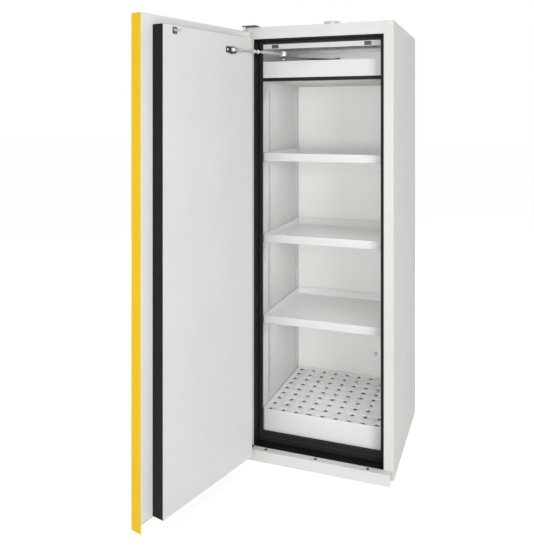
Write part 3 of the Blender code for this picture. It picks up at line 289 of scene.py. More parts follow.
def rounded_block(bm, low, high, edge, corner=None, steps=4, matrix=None):
    """A block with rounded edges, upright corners of their own radius."""
    corner = corner or edge * 1.05
    bottom = [(edge - u, low[2] + edge - v) for u, v in reversed(arc(edge, 0, 90, steps))]
    top = [(edge - u, high[2] - edge + v) for u, v in arc(edge, 0, 90, steps)]
    ring_shell(bm, low[:2], high[:2], bottom + top, corner, steps, matrix)


def lathe(bm, profile, matrix=None, sides=ROUND):
    """Revolves (radius, level) points about Z; a radius of 0 closes the end."""
    rings = []
    for radius, level in profile:
        if radius <= 0:
            rings.append([bm.verts.new((0, 0, level))])
            continue
        turns = (2 * math.pi * step / sides for step in range(sides))
        rings.append([bm.verts.new((radius * math.cos(t), radius * math.sin(t), level)) for t in turns])
    for first, second in zip(rings, rings[1:]):
        for step in range(sides):
            after = (step + 1) % sides
            if len(first) == 1:
                bm.faces.new((first[0], second[after], second[step]))
            elif len(second) == 1:
                bm.faces.new((first[step], first[after], second[0]))
            else:
                bm.faces.new((first[step], first[after], second[after], second[step]))
    if matrix is not None:
        bmesh.ops.transform(bm, matrix=matrix, verts=[vert for ring in rings for vert in ring])


def rod_profile(radius, start, end, edge):
    """Profile of a solid rod with rounded ends."""
    low = [(radius - edge + u, start + edge - v) for u, v in reversed(arc(edge, 0, 90, 3))]
    high = [(radius - edge + u, end - edge + v) for u, v in arc(edge, 0, 90, 3)]
    return [(0, start), *low, *high, (0, end)]


def prism(bm, outline, low, high, edge, matrix=None):
    """An outline carried from low to high with chamfered rims; the outline is convex and runs anticlockwise."""
    middle = Vector((sum(p[0] for p in outline), sum(p[1] for p in outline))) / len(outline)

    def ring(inset, level):
        made = []
        for point in outline:
            run = Vector(point) - middle
            short = run * (1 - inset / run.length)
            made.append(bm.verts.new((*(middle + short), level)))
        return made

    rings = [ring(edge, low), ring(0, low + edge), ring(0, high - edge), ring(edge, high)]
    for first, second in zip(rings, rings[1:]):
        bridge(bm, first, second)
    bm.faces.new(list(reversed(rings[0])))
    bm.faces.new(rings[-1])
    if matrix is not None:
        bmesh.ops.transform(bm, matrix=matrix, verts=[vert for each in rings for vert in each])


def hexagon(radius):
    return arc(radius, 0, 300, 5)


def axis_matrix(place, direction, up=(0, 0, 1)):
    """Takes local +Z to a direction, at a place."""
    forward = Vector(direction).normalized()
    side = Vector(up).cross(forward)
    side = side.normalized() if side.length > 1e-6 else Vector((1, 0, 0))
    over = forward.cross(side)
    turn = Matrix((side, over, forward)).transposed()
    return Matrix.Translation(Vector(place)) @ turn.to_4x4()


def screw_head(bm, matrix, radius, height, socket="hex"):
    """Button head with a driver recess; local +Z points out of the surface."""
    socket_radius = radius * 0.42
    depth = height * 0.45
    rim = [(radius * math.cos(math.radians(t)) * 1.0, height * math.sin(math.radians(t)))
           for t in (0, 20, 40, 58)]
    sides = 24
    rings = []
    for r, level in [(radius, 0.0), *rim[1:]]:
        rings.append([bm.verts.new((r * math.cos(2 * math.pi * s / sides), r * math.sin(2 * math.pi * s / sides),
                                    level)) for s in range(sides)])
    top = rim[-1][1]
    star = []
    for s in range(sides):
        turn = 2 * math.pi * s / sides
        if socket == "hex":
            reach = socket_radius / math.cos((turn + math.pi / 6) % (math.pi / 3) - math.pi / 6)
        else:
            reach = socket_radius * (1.25 if s % 6 in (0, 1, 5) else 0.45)
        star.append((reach * math.cos(turn), reach * math.sin(turn)))
    rings.append([bm.verts.new((u, v, top)) for u, v in star])
    rings.append([bm.verts.new((u, v, top - depth)) for u, v in star])
    for first, second in zip(rings, rings[1:]):
        bridge(bm, first, second)
    bm.faces.new(list(reversed(rings[0])))
    bm.faces.new(rings[-1])
    bmesh.ops.transform(bm, matrix=matrix, verts=[vert for each in rings for vert in each])


def swept_tube(bm, points, radius, sides=12, closed=False):
    """A tube along straight runs in space, mitred at its corners."""
    count = len(points)
    rings = []
    for step, point in enumerate(points):
        before = points[step - 1] if step or closed else None
        after = points[(step + 1) % count] if step < count - 1 or closed else None
        run_in = (point - before).normalized() if before is not None else (after - point).normalized()
        run_out = (after - point).normalized() if after is not None else run_in
        along = (run_in + run_out).normalized()
        side = Vector((0, 1, 0))
        if abs(along.dot(side)) > 0.9:
            side = Vector((0, 0, 1))
        over = along.cross(side).normalized()
        stretch = 1 / max(along.dot(run_in), 0.3)
        ring = []
        for turn in range(sides):
            angle = 2 * math.pi * turn / sides
            ring.append(bm.verts.new(point + over * radius * stretch * math.cos(angle)
                                     + side * radius * math.sin(angle)))
        rings.append(ring)
    for first, second in zip(rings, rings[1:]):
        bridge(bm, first, second)
    if closed:
        bridge(bm, rings[-1], rings[0])
    else:
        bm.faces.new(list(reversed(rings[0])))
        bm.faces.new(rings[-1])


# ---------------------------------------------------------------- places taken from the frame

HINGE = JOINTS["door_hinge"]
PIVOT = Vector((HINGE["pos_m"][0], HINGE["pos_m"][1], 0))
OPEN_TURN = math.radians(HINGE["range_deg"][1])
DOOR = Matrix.Translation(PIVOT) @ Matrix.Rotation(-OPEN_TURN, 4, "Z") @ Matrix.Translation(-PIVOT)
SHUT = DOOR.inverted()


def shut_box(name):
    """Corners of a door node as if the door were shut."""
    points = [SHUT @ vert.co for vert in frame["nodes"][name].data.vertices]
    return (Vector(min(p[axis] for p in points) for axis in range(3)),
            Vector(max(p[axis] for p in points) for axis in range(3)))


ROOF_LOW, ROOF_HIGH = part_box("roof_panel")
BODY_LEFT, BODY_RIGHT = ROOF_LOW.x, ROOF_HIGH.x
BODY_FRONT, BODY_BACK = ROOF_LOW.y, ROOF_HIGH.y
PLINTH_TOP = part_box("plinth_strip")[1].z


# ---------------------------------------------------------------- trays, sump and insert

def tray_profile(low, height, wall, bend, hem, hem_drop):
    """Pressed sheet pan: underside bend, wall, folded rim, inner bend."""
    under = [(bend - u, low + bend - v) for u, v in reversed(arc(bend, 0, 90, 4))]
    rim = [(hem - u, low + height - hem + v) for u, v in arc(hem, 0, 180, 8)]
    lip = [(2 * hem, low + height - hem_drop), (wall, low + height - hem_drop - wall / 2)]
    inner = max(bend - wall, 0.0008)
    inside = [(wall + inner - u, low + wall + inner - v) for u, v in arc(inner, 0, 90, 4)]
    return under + rim + lip + inside


def pressed_tray(name, node):
    low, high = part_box(node)
    bm = bmesh.new()
    profile = tray_profile(low.z, high.z - low.z, 1.6 * MM, 3 * MM, 1.5 * MM, 9 * MM)
    ring_shell(bm, low[:2], high[:2], profile, 4.5 * MM, 5)
    return piece(name, bm, "cabinet", INSIDE_PAINT, 40, [node])


def trays():
    for level in ("lower", "middle", "upper"):
        pressed_tray("tray_shell_" + level, "shelf_tray_" + level)
    pressed_tray("sump_shell", "sump_tray")


def hole_centres(node):
    """Centres of the round holes, from the rims that the node's own mesh shows on its top face."""
    low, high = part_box(node)
    mesh = frame["nodes"][node].data
    top = [v.co for v in mesh.vertices if abs(v.co.z - high.z) < 1e-5]
    inside = [co for co in top if min(co.x - low.x, high.x - co.x, co.y - low.y, high.y - co.y) > 2 * MM]
    groups = []
    for co in inside:
        for group in groups:
            if (group[0] - co).length < 20 * MM:
                group.append(co)
                break
        else:
            groups.append([co])
    centres = []
    for group in groups:
        xs, ys = [co.x for co in group], [co.y for co in group]
        centres.append(((min(xs) + max(xs)) / 2, (min(ys) + max(ys)) / 2))
    return centres


def insert_plate():
    """Perforated plate with a small dished rim at each hole, on folded legs."""
    low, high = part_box("perforated_insert")
    centres = hole_centres("perforated_insert")
    columns = sorted({round(x, 4) for x, _ in centres})
    rows = sorted({round(y, 4) for _, y in centres})
    pitch = columns[1] - columns[0]
    half = pitch / 2
    radius, dish, sheet = 8.0 * MM, 0.5 * MM, 1.6 * MM
    around = 24
    bm = bmesh.new()
    x_cuts = [low.x] + [(a + b) / 2 for a, b in zip(columns, columns[1:])] + [high.x]
    y_cuts = [low.y] + [(a + b) / 2 for a, b in zip(rows, rows[1:])] + [high.y]

    def square_point(x, y, box_low, box_high, turn):
        """Where a ray from a hole's centre leaves its cell."""
        u, v = math.cos(turn), math.sin(turn)
        reach = []
        if abs(u) > 1e-9:
            reach.append(((box_high[0] if u > 0 else box_low[0]) - x) / u)
        if abs(v) > 1e-9:
            reach.append(((box_high[1] if v > 0 else box_low[1]) - y) / v)
        far = min(reach)
        return (x + u * far, y + v * far)

    for i, x in enumerate(columns):
        for j, y in enumerate(rows):
            cell_low = (x_cuts[i], y_cuts[j])
            cell_high = (x_cuts[i + 1], y_cuts[j + 1])
            corners = [math.atan2(cy - y, cx - x) for cx in (cell_low[0], cell_high[0])
                       for cy in (cell_low[1], cell_high[1])]
            turns = sorted({2 * math.pi * s / around for s in range(around)} | {c % (2 * math.pi) for c in corners})
            outer, lip, wall_top, wall_low = [], [], [], []
            for turn in turns:
                px, py = square_point(x, y, cell_low, cell_high, turn)
                u, v = math.cos(turn), math.sin(turn)
                outer.append(bm.verts.new((px, py, high.z)))
                lip.append(bm.verts.new((x + u * (radius + dish * 2), y + v * (radius + dish * 2), high.z)))
                wall_top.append(bm.verts.new((x + u * radius, y + v * radius, high.z - dish)))
                wall_low.append(bm.verts.new((x + u * radius, y + v * radius, high.z - sheet)))
            bridge(bm, outer, lip)
            bridge(bm, lip, wall_top)
            bridge(bm, wall_top, wall_low)
            under = [bm.verts.new((v.co.x, v.co.y, high.z - sheet)) for v in outer]
            bridge(bm, wall_low, under)
    skirt = [(low.x, low.y), (high.x, low.y), (high.x, high.y), (low.x, high.y)]
    for (ax, ay), (bx, by) in zip(skirt, skirt[1:] + skirt[:1]):
        on_edge = [v for v in bm.verts if abs(v.co.z - high.z) < 1e-7
                   and abs((v.co.x - ax) * (by - ay) - (v.co.y - ay) * (bx - ax)) < 1e-7]
        run = Vector((bx - ax, by - ay, 0)).normalized()
        on_edge.sort(key=lambda v: (v.co - Vector((ax, ay, 0))).dot(run))
        unique = []
        for vert in on_edge:
            if not unique or (vert.co - unique[-1].co).length > 1e-6:
                unique.append(vert)
        below = [bm.verts.new((v.co.x, v.co.y, high.z - sheet)) for v in unique]
        for step in range(len(unique) - 1):
            bm.faces.new((unique[step], below[step], below[step + 1], unique[step + 1]))
    piece("insert_sheet", bm, "cabinet", INSIDE_PAINT, 30, ["perforated_insert"])
    legs = bmesh.new()
    for near, far in ((low.x, low.x + sheet), (high.x - sheet, high.x)):
        rounded_block(legs, (near, low.y + 4 * MM, low.z), (far, high.y - 4 * MM, high.z - sheet), 0.4 * MM)
    piece("insert_legs", legs, "cabinet", INSIDE_PAINT)


# ---------------------------------------------------------------- small fixings

def plinth_screws():
    for place in ("left", "middle", "right"):
        low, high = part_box("plinth_screw_" + place)
        centre = (low + high) / 2
        radius = (high.x - low.x) / 2 * 1.13
        bm = bmesh.new()
        screw_head(bm, Matrix.Translation((centre.x, centre.y, low.z)), radius, (high.z - low.z) * 1.15)
        piece("plinth_screw_head_" + place, bm, "cabinet", SCREW_STEEL, 30,
              ["plinth_screw_" + place])


def stud():
    """Earthing stud: washer, hexagon nut and thread."""
    low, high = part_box("earthing_stud")
    start = Vector(((low.x + high.x) / 2, high.y, (low.z + high.z) / 2))
    matrix = axis_matrix(start, (0, -1, 0))
    bm = bmesh.new()
    lathe(bm, rod_profile(9.5 * MM, 0, 1.4 * MM, 0.3 * MM), matrix)
    prism(bm, hexagon(8.2 * MM), 1.4 * MM, 7.0 * MM, 0.5 * MM, matrix)
    thread = [(0, 6.8 * MM)]
    level = 6.8 * MM
    end = high.y - low.y
    while level < end - 1.6 * MM:
        thread += [(3.5 * MM, level), (4.0 * MM, level + 0.4 * MM), (3.5 * MM, level + 0.8 * MM)]
        level += 0.8 * MM
    thread += [(3.2 * MM, end - 0.5 * MM), (2.6 * MM, end), (0, end)]
    lathe(bm, thread, matrix, 24)
    piece("earthing_nut", bm, "cabinet", ZINC, 30, ["earthing_stud"])


def buffer_cap():
    """Rubber cap on the round buffer of the right-hand profile, with its fixing screw."""
    low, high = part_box("frame_profile_right")
    mesh = frame["nodes"]["frame_profile_right"].data
    tip = min(v.co.x for v in mesh.vertices)
    rim = [v.co for v in mesh.vertices if abs(v.co.x - tip) < 1e-5]
    centre = Vector((tip, sum(co.y for co in rim) / len(rim), sum(co.z for co in rim) / len(rim)))
    matrix = axis_matrix(centre + Vector((1.0 * MM, 0, 0)), (-1, 0, 0))
    bm = bmesh.new()
    dome = [(0, 0), (9.3 * MM, 0), (9.3 * MM, 0.8 * MM), (8.7 * MM, 1.8 * MM), (7.2 * MM, 2.6 * MM),
            (4.6 * MM, 3.0 * MM), (3.4 * MM, 3.0 * MM), (3.2 * MM, 2.2 * MM), (0, 2.2 * MM)]
    lathe(bm, dome, matrix, 32)
    piece("buffer_cap", bm, "cabinet", RUBBER, 30)
    head = bmesh.new()
    screw_head(head, matrix @ Matrix.Translation((0, 0, 2.25 * MM)), 2.7 * MM, 1.2 * MM, "cross")
    piece("buffer_screw", head, "cabinet", BRIGHT_ZINC)


# ---------------------------------------------------------------- seals of the opening

def lip_seal():
    """Rubber bulb along the front of the rebate seal."""
    low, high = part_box("rebate_seal")
    inset = 9 * MM
    bottom_inset = 20 * MM
    y = low.y - 0.6 * MM
    corners = [(low.x + inset, low.z + bottom_inset), (high.x - inset, low.z + bottom_inset),
               (high.x - inset, high.z - 5 * MM), (low.x + inset, high.z - 5 * MM)]
    points = []
    for step, (x, z) in enumerate(corners):
        before = Vector(corners[step - 1]) - Vector((x, z))
        after = Vector(corners[(step + 1) % 4]) - Vector((x, z))
        start = Vector((x, z)) + before.normalized() * 6 * MM
        end = Vector((x, z)) + after.normalized() * 6 * MM
        for part in range(5):
            t = part / 4
            point = start * (1 - t) ** 2 + Vector((x, z)) * 2 * t * (1 - t) + end * t ** 2
            points.append(Vector((point.x, y, point.y)))
    bm = bmesh.new()
    swept_tube(bm, points, 1.5 * MM, 10, True)
    piece("rebate_bulb", bm, "cabinet", RUBBER, 60)


def jamb_strips():
    """Grooved swelling strips on the jambs, set on the profile's rib."""
    low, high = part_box("frame_profile_left")
    z_low, z_high = low.z + 2 * MM, high.z - 2 * MM
    for side, node in (("left", "frame_profile_left"), ("right", "frame_profile_right")):
        mesh = frame["nodes"][node].data
        sign = -1 if side == "left" else 1
        faces = [v.co for v in mesh.vertices if abs(v.co.z - (high.z if side == "left" else high.z)) < 1e-5]
        rib_x = min(abs(co.x) for co in faces)
        rib = [co.y for co in faces if abs(abs(co.x) - rib_x) < 1e-5]
        y_low, y_high = min(rib), max(rib)
        bm = bmesh.new()
        for start, end in ((y_low + 0.8 * MM, y_low + 5.6 * MM), (y_low + 6.6 * MM, y_high - 0.8 * MM)):
            near, far = sorted((sign * (rib_x + 0.2 * MM), sign * (rib_x - 0.8 * MM)))
            rounded_block(bm, (near, start, z_low), (far, end, z_high), 0.35 * MM, 0.4 * MM, 2)
        piece("jamb_strip_" + side, bm, "cabinet", STRIP_GREY)


# ---------------------------------------------------------------- exhaust

def exhaust():
    low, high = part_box("exhaust_spigot")
    centre = Vector(((low.x + high.x) / 2, (low.y + high.y) / 2, 0))
    radius, wall = (high.x - low.x) / 2 - 2 * MM, 1.4 * MM
    top = high.z
    profile = [(radius, low.z), (radius, ROOF_HIGH.z + 0.002)]
    for level in (ROOF_HIGH.z + 10 * MM, top - 8 * MM):
        profile += [(radius, level - 3 * MM)]
        profile += [(radius + 2 * MM * math.sin(math.radians(t)), level - 3 * MM * math.cos(math.radians(t)))
                    for t in (20, 45, 70, 90, 110, 135, 160)]
        profile += [(radius, level + 3 * MM)]
    profile += [(radius, top - 0.6 * MM), (radius - 0.7 * MM, top), (radius - wall, top - 0.5 * MM),
                (radius - wall, low.z), (radius, low.z)]
    bm = bmesh.new()
    lathe(bm, profile, Matrix.Translation(centre), FINE_ROUND)
    piece("spigot_tube", bm, "cabinet", ZINC, 50, ["exhaust_spigot"])
    ring = bmesh.new()
    flange = [(radius + 0.4 * MM, ROOF_HIGH.z), (radius + 14 * MM, ROOF_HIGH.z), (radius + 14 * MM, ROOF_HIGH.z + 1 * MM),
              (radius + 13.4 * MM, ROOF_HIGH.z + 1.5 * MM), (radius + 2.5 * MM, ROOF_HIGH.z + 1.5 * MM),
              (radius + 0.8 * MM, ROOF_HIGH.z + 3.2 * MM), (radius + 0.4 * MM, ROOF_HIGH.z + 3.2 * MM),
              (radius + 0.4 * MM, ROOF_HIGH.z)]
    lathe(ring, flange, Matrix.Translation(centre), FINE_ROUND)
    piece("spigot_flange", ring, "cabinet", ZINC, 40)
    heads = bmesh.new()
    for step in range(4):
        turn = math.radians(45 + 90 * step)
        spot = centre + Vector((math.cos(turn), math.sin(turn), 0)) * (radius + 8.5 * MM)
        screw_head(heads, Matrix.Translation((spot.x, spot.y, ROOF_HIGH.z + 1.5 * MM)), 3.6 * MM, 2.2 * MM, "cross")
    piece("spigot_screws", heads, "cabinet", BRIGHT_ZINC)


def valve():
    low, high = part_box("exhaust_valve")
    centre = Vector(((low.x + high.x) / 2, (low.y + high.y) / 2, 0))
    disc = bmesh.new()
    profile = [(0, low.z), (24 * MM, low.z), (29 * MM, low.z + 0.5 * MM), (31.6 * MM, low.z + 1.6 * MM),
               (32 * MM, low.z + 2.4 * MM), (31.4 * MM, low.z + 3 * MM), (27 * MM, low.z + 2.6 * MM),
               (6 * MM, low.z + 2.6 * MM), (5 * MM, low.z + 4.6 * MM), (4 * MM, low.z + 5.5 * MM),
               (4 * MM, high.z - 2 * MM), (0, high.z - 2 * MM)]
    lathe(disc, profile, Matrix.Translation(centre), FINE_ROUND)
    half = (high.x - low.x) / 2
    rounded_block(disc, (centre.x - half, centre.y - 4 * MM, high.z - 3 * MM),
                  (centre.x + half, centre.y + 4 * MM, high.z), 0.6 * MM)
    piece("valve_disc", disc, "cabinet", INSIDE_PAINT, 30, ["exhaust_valve"])


# ---------------------------------------------------------------- door closer

def closer():
    spindle = JOINTS["closer_arm_spindle"]["pos_m"]
    pin = Vector(JOINTS["closer_forearm_pin"]["pos_m"])
    elbow = forearm_elbow()
    closer_housing(spindle)
    closer_arm(Vector((spindle[0], spindle[1], 0)), elbow)
    forearm(pin, elbow)
    door_bracket()


def forearm_elbow():
    """Axis of the knuckle: the middle of the arm's pin, the highest round of the arm's own mesh."""
    mesh = frame["nodes"]["closer_arm"].data
    top = max(v.co.z for v in mesh.vertices)
    rim = [v.co for v in mesh.vertices if abs(v.co.z - top) < 1e-5]
    return Vector((sum(co.x for co in rim) / len(rim), sum(co.y for co in rim) / len(rim), top))


def closer_housing(spindle):
    low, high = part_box("closer_body")
    bm = bmesh.new()
    rounded_block(bm, low, high, 5 * MM, 8 * MM)
    for end, way in ((low.x, -1), (high.x, 1)):
        matrix = axis_matrix((end - way * 0.5 * MM, (low.y + high.y) / 2, (low.z + high.z) / 2), (way, 0, 0))
        lathe(bm, [(0, 0), (14 * MM, 0), (14 * MM, 0.4 * MM), (13.4 * MM, 0.5 * MM), (0, 0.5 * MM)], matrix)
    piece("closer_housing", bm, "cabinet", DARK_STEEL, 30, ["closer_body"])
    valves = bmesh.new()
    for drop in (-14, 14):
        matrix = axis_matrix((high.x - 9 * MM, low.y + 0.2 * MM, (low.z + high.z) / 2 + drop * MM), (0, -1, 0))
        screw_head(valves, matrix, 3.5 * MM, 1.4 * MM)
    piece("closer_valves", valves, "cabinet", ZINC)
    collar = bmesh.new()
    place = Vector((spindle[0], spindle[1], high.z))
    lathe(collar, [(9.0 * MM, 0), (13 * MM, 0), (13 * MM, 1.2 * MM), (12 * MM, 2.2 * MM), (9.0 * MM, 2.2 * MM),
                   (9.0 * MM, 0)], Matrix.Translation(place))
    piece("closer_collar", collar, "cabinet", ZINC)


def tapered_outline(start, end, start_radius, end_radius, steps=10):
    """Anticlockwise outline of a bar with round ends of two sizes."""
    run = (end - start).to_2d()
    heading = math.degrees(math.atan2(run.y, run.x))
    outline = [(end.x + u, end.y + v) for u, v in arc(end_radius, heading - 90, heading + 90, steps)]
    outline += [(start.x + u, start.y + v) for u, v in arc(start_radius, heading + 90, heading + 270, steps)]
    return outline


def closer_arm(spindle, elbow):
    low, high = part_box("closer_arm")
    mesh = frame["nodes"]["closer_arm"].data
    levels = sorted({round(v.co.z, 5) for v in mesh.vertices})
    bar_low = min(level for level in levels if level > low.z + 0.004)
    bar_high = bar_low + 6 * MM
    bm = bmesh.new()
    end = Vector((elbow.x, elbow.y, 0))
    bar = tapered_outline(spindle, end, 12 * MM, 9.5 * MM)
    middle = (spindle + end) / 2
    rings = []
    for inset, level in ((0.8, 0), (0, 0.8), (0, 5.2), (0.8, 6.0)):
        ring = []
        for point in tapered_outline(spindle, end, (12 - inset) * MM, (9.5 - inset) * MM):
            ring.append(bm.verts.new((point[0], point[1], bar_low + level * MM)))
        rings.append(ring)
    for first, second in zip(rings, rings[1:]):
        bridge(bm, first, second)
    bm.faces.new(list(reversed(rings[0])))
    bm.faces.new(rings[-1])
    at_spindle = Matrix.Translation((spindle.x, spindle.y, 0))
    lathe(bm, rod_profile(8 * MM, low.z, bar_low + 1 * MM, 0.5 * MM), at_spindle, 32)
    lathe(bm, rod_profile(11 * MM, bar_high - 1 * MM, bar_high + 2.6 * MM, 0.8 * MM), at_spindle, 32)
    at_elbow = Matrix.Translation((end.x, end.y, 0))
    lathe(bm, rod_profile(6 * MM, bar_high - 1 * MM, high.z, 0.4 * MM), at_elbow, 32)
    lathe(bm, rod_profile(8.5 * MM, bar_high - 1 * MM, bar_high + 1.4 * MM, 0.4 * MM), at_elbow, 32)
    piece("arm_forging", bm, "closer_arm", DARK_STEEL, 30, ["closer_arm"])
    head = bmesh.new()
    screw_head(head, Matrix.Translation((spindle.x, spindle.y, bar_high + 2.6 * MM)), 6 * MM, 3 * MM)
    piece("arm_screw", head, "closer_arm", ZINC)
    nut = bmesh.new()
    prism(nut, hexagon(7 * MM), bar_low - 4.6 * MM, bar_low + 0.2 * MM, 0.5 * MM, at_elbow)
    piece("arm_nut", nut, "closer_arm", ZINC)


def forearm(pin, elbow):
    low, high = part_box("closer_forearm")
    middle = (low.z + high.z) / 2
    start = Vector((pin.x, pin.y, middle))
    end = Vector((elbow.x, elbow.y, middle))
    length = (end - start).length
    matrix = axis_matrix(start, end - start)
    rod = bmesh.new()
    profile = [(0, 5 * MM), (4.6 * MM, 5 * MM), (4.6 * MM, 17 * MM)]
    for collar in (17 * MM, 32 * MM):
        profile += [(6.4 * MM, collar + 0.4 * MM), (7.0 * MM, collar + 1.2 * MM), (7.0 * MM, collar + 4.4 * MM),
                    (6.4 * MM, collar + 5.2 * MM), (4.2 * MM, collar + 5.8 * MM), (4.2 * MM, collar + 8 * MM)]
    level = 88 * MM
    profile += [(4.0 * MM, 44 * MM), (4.0 * MM, level)]
    while level < 144 * MM:
        profile += [(3.6 * MM, level + 0.5 * MM), (4.0 * MM, level + 1.0 * MM)]
        level += 1.0 * MM
    profile += [(4.0 * MM, 150 * MM), (0, 150 * MM)]
    lathe(rod, profile, matrix, 24)
    piece("forearm_rod", rod, "closer_forearm", DULL_ZINC, 30, ["closer_forearm"])
    nuts = bmesh.new()
    prism(nuts, hexagon(7.4 * MM), 96 * MM, 103 * MM, 0.6 * MM, matrix)
    lathe(nuts, rod_profile(7.4 * MM, 115 * MM, 122 * MM, 1.0 * MM), matrix)
    piece("forearm_nuts", nuts, "closer_forearm", BRIGHT_ZINC)
    tube = bmesh.new()
    outline = [(0, 138 * MM), (5.4 * MM, 138 * MM), (5.9 * MM, 139 * MM), (5.9 * MM, 143 * MM), (7.0 * MM, 145 * MM),
               (7.0 * MM, length - 14 * MM), (6.2 * MM, length - 9 * MM), (6.2 * MM, length - 4 * MM),
               (0, length - 4 * MM)]
    lathe(tube, outline, matrix, 32)
    piece("forearm_tube", tube, "closer_forearm", DULL_ZINC, 30)
    eye = bmesh.new()
    half = 7 * MM
    ball = [(3.3 * MM, -half), (6.2 * MM, -half), (7.4 * MM, -half * 0.72), (8.1 * MM, -half * 0.35), (8.3 * MM, 0),
            (8.1 * MM, half * 0.35), (7.4 * MM, half * 0.72), (6.2 * MM, half), (3.3 * MM, half), (3.3 * MM, -half)]
    lathe(eye, ball, Matrix.Translation(start), 40)
    piece("forearm_eye", eye, "closer_forearm", PALE_CAP, 30)
    knuckle = bmesh.new()
    tall = 9 * MM
    cap = rod_profile(12 * MM, middle - tall, middle + tall, 1.8 * MM)
    lathe(knuckle, cap, Matrix.Translation((end.x, end.y, 0)), 40)
    piece("forearm_knuckle", knuckle, "closer_forearm", PALE_CAP, 35)
    cover = bmesh.new()
    screw_head(cover, Matrix.Translation((end.x, end.y, middle + tall - 0.2 * MM)), 5 * MM, 1.6 * MM)
    piece("forearm_pin_head", cover, "closer_forearm", ZINC)


def door_bracket():
    """Foot of the forearm on the plug: plate with two screws, folded lug and pin."""
    low, high = shut_box("closer_bracket")
    centre_x = (low.x + high.x) / 2
    foot_z = (low.z + high.z) / 2
    mesh = frame["nodes"]["closer_bracket"].data
    shut = [SHUT @ v.co for v in mesh.vertices]
    foot_low = min(p.z for p in shut)
    foot_high = foot_low + 24 * MM
    bm = bmesh.new()
    plate = [(0.5 * MM, 0), (0, 0.5 * MM), (0, 2.5 * MM), (0.5 * MM, 3 * MM)]
    matrix = DOOR @ axis_matrix((centre_x, low.y, (foot_low + foot_high) / 2), (0, 1, 0))
    ring_shell(bm, (-12 * MM, -30 * MM), (12 * MM, 30 * MM), plate, 3 * MM, 5,
               matrix @ Matrix.Rotation(math.pi / 2, 4, "Z"))
    pin = SHUT @ Vector((*JOINTS["closer_forearm_pin"]["pos_m"][:2], 0))
    lug_top = foot_low + 12 * MM - 7.3 * MM
    outline = tapered_outline(Vector((pin.x, low.y + 9 * MM, 0)), Vector((pin.x, pin.y, 0)), 9.5 * MM, 8 * MM)
    outline = [(x, max(y, low.y + 1 * MM)) for x, y in outline]
    prism(bm, outline, lug_top - 3 * MM, lug_top, 0.3 * MM, DOOR)
    prism(bm, [(pin.x - 9 * MM, low.y + 2 * MM), (pin.x + 9 * MM, low.y + 2 * MM), (pin.x + 7 * MM, low.y + 5 * MM),
               (pin.x - 7 * MM, low.y + 5 * MM)], lug_top - 8 * MM, lug_top - 0.5 * MM, 0.3 * MM, DOOR)
    lathe(bm, rod_profile(3 * MM, lug_top - 1 * MM, high.z + 0.0, 0.3 * MM), DOOR @ Matrix.Translation(pin), 24)
    piece("bracket_plate", bm, "door", DARK_STEEL, 30, ["closer_bracket"])
    heads = bmesh.new()
    for step in (-1, 1):
        place = (centre_x + step * 21 * MM, low.y + 3 * MM, foot_z)
        screw_head(heads, DOOR @ axis_matrix(place, (0, 1, 0)), 4.2 * MM, 1.9 * MM, "cross")
    piece("bracket_screws", heads, "door", BRIGHT_ZINC)


# ---------------------------------------------------------------- handle, lock and catch on the door

def handle():
    low, high = shut_box("handle_plate")
    bm = bmesh.new()
    across, tall = (high.x - low.x) / 2, (high.z - low.z) / 2
    matrix = DOOR @ axis_matrix(((low.x + high.x) / 2, high.y, (low.z + high.z) / 2), (0, -1, 0))
    deep = high.y - low.y
    profile = [(0, 0), (0, deep * 0.45), (0.6 * MM, deep * 0.75), (1.8 * MM, deep * 0.95), (3.2 * MM, deep)]
    ring_shell(bm, (-across, -tall), (across, tall), profile, 15 * MM, 8, matrix)
    piece("handle_cover", bm, "door", HANDLE_PLASTIC, 30, ["handle_plate"])
    lever()
    lock()


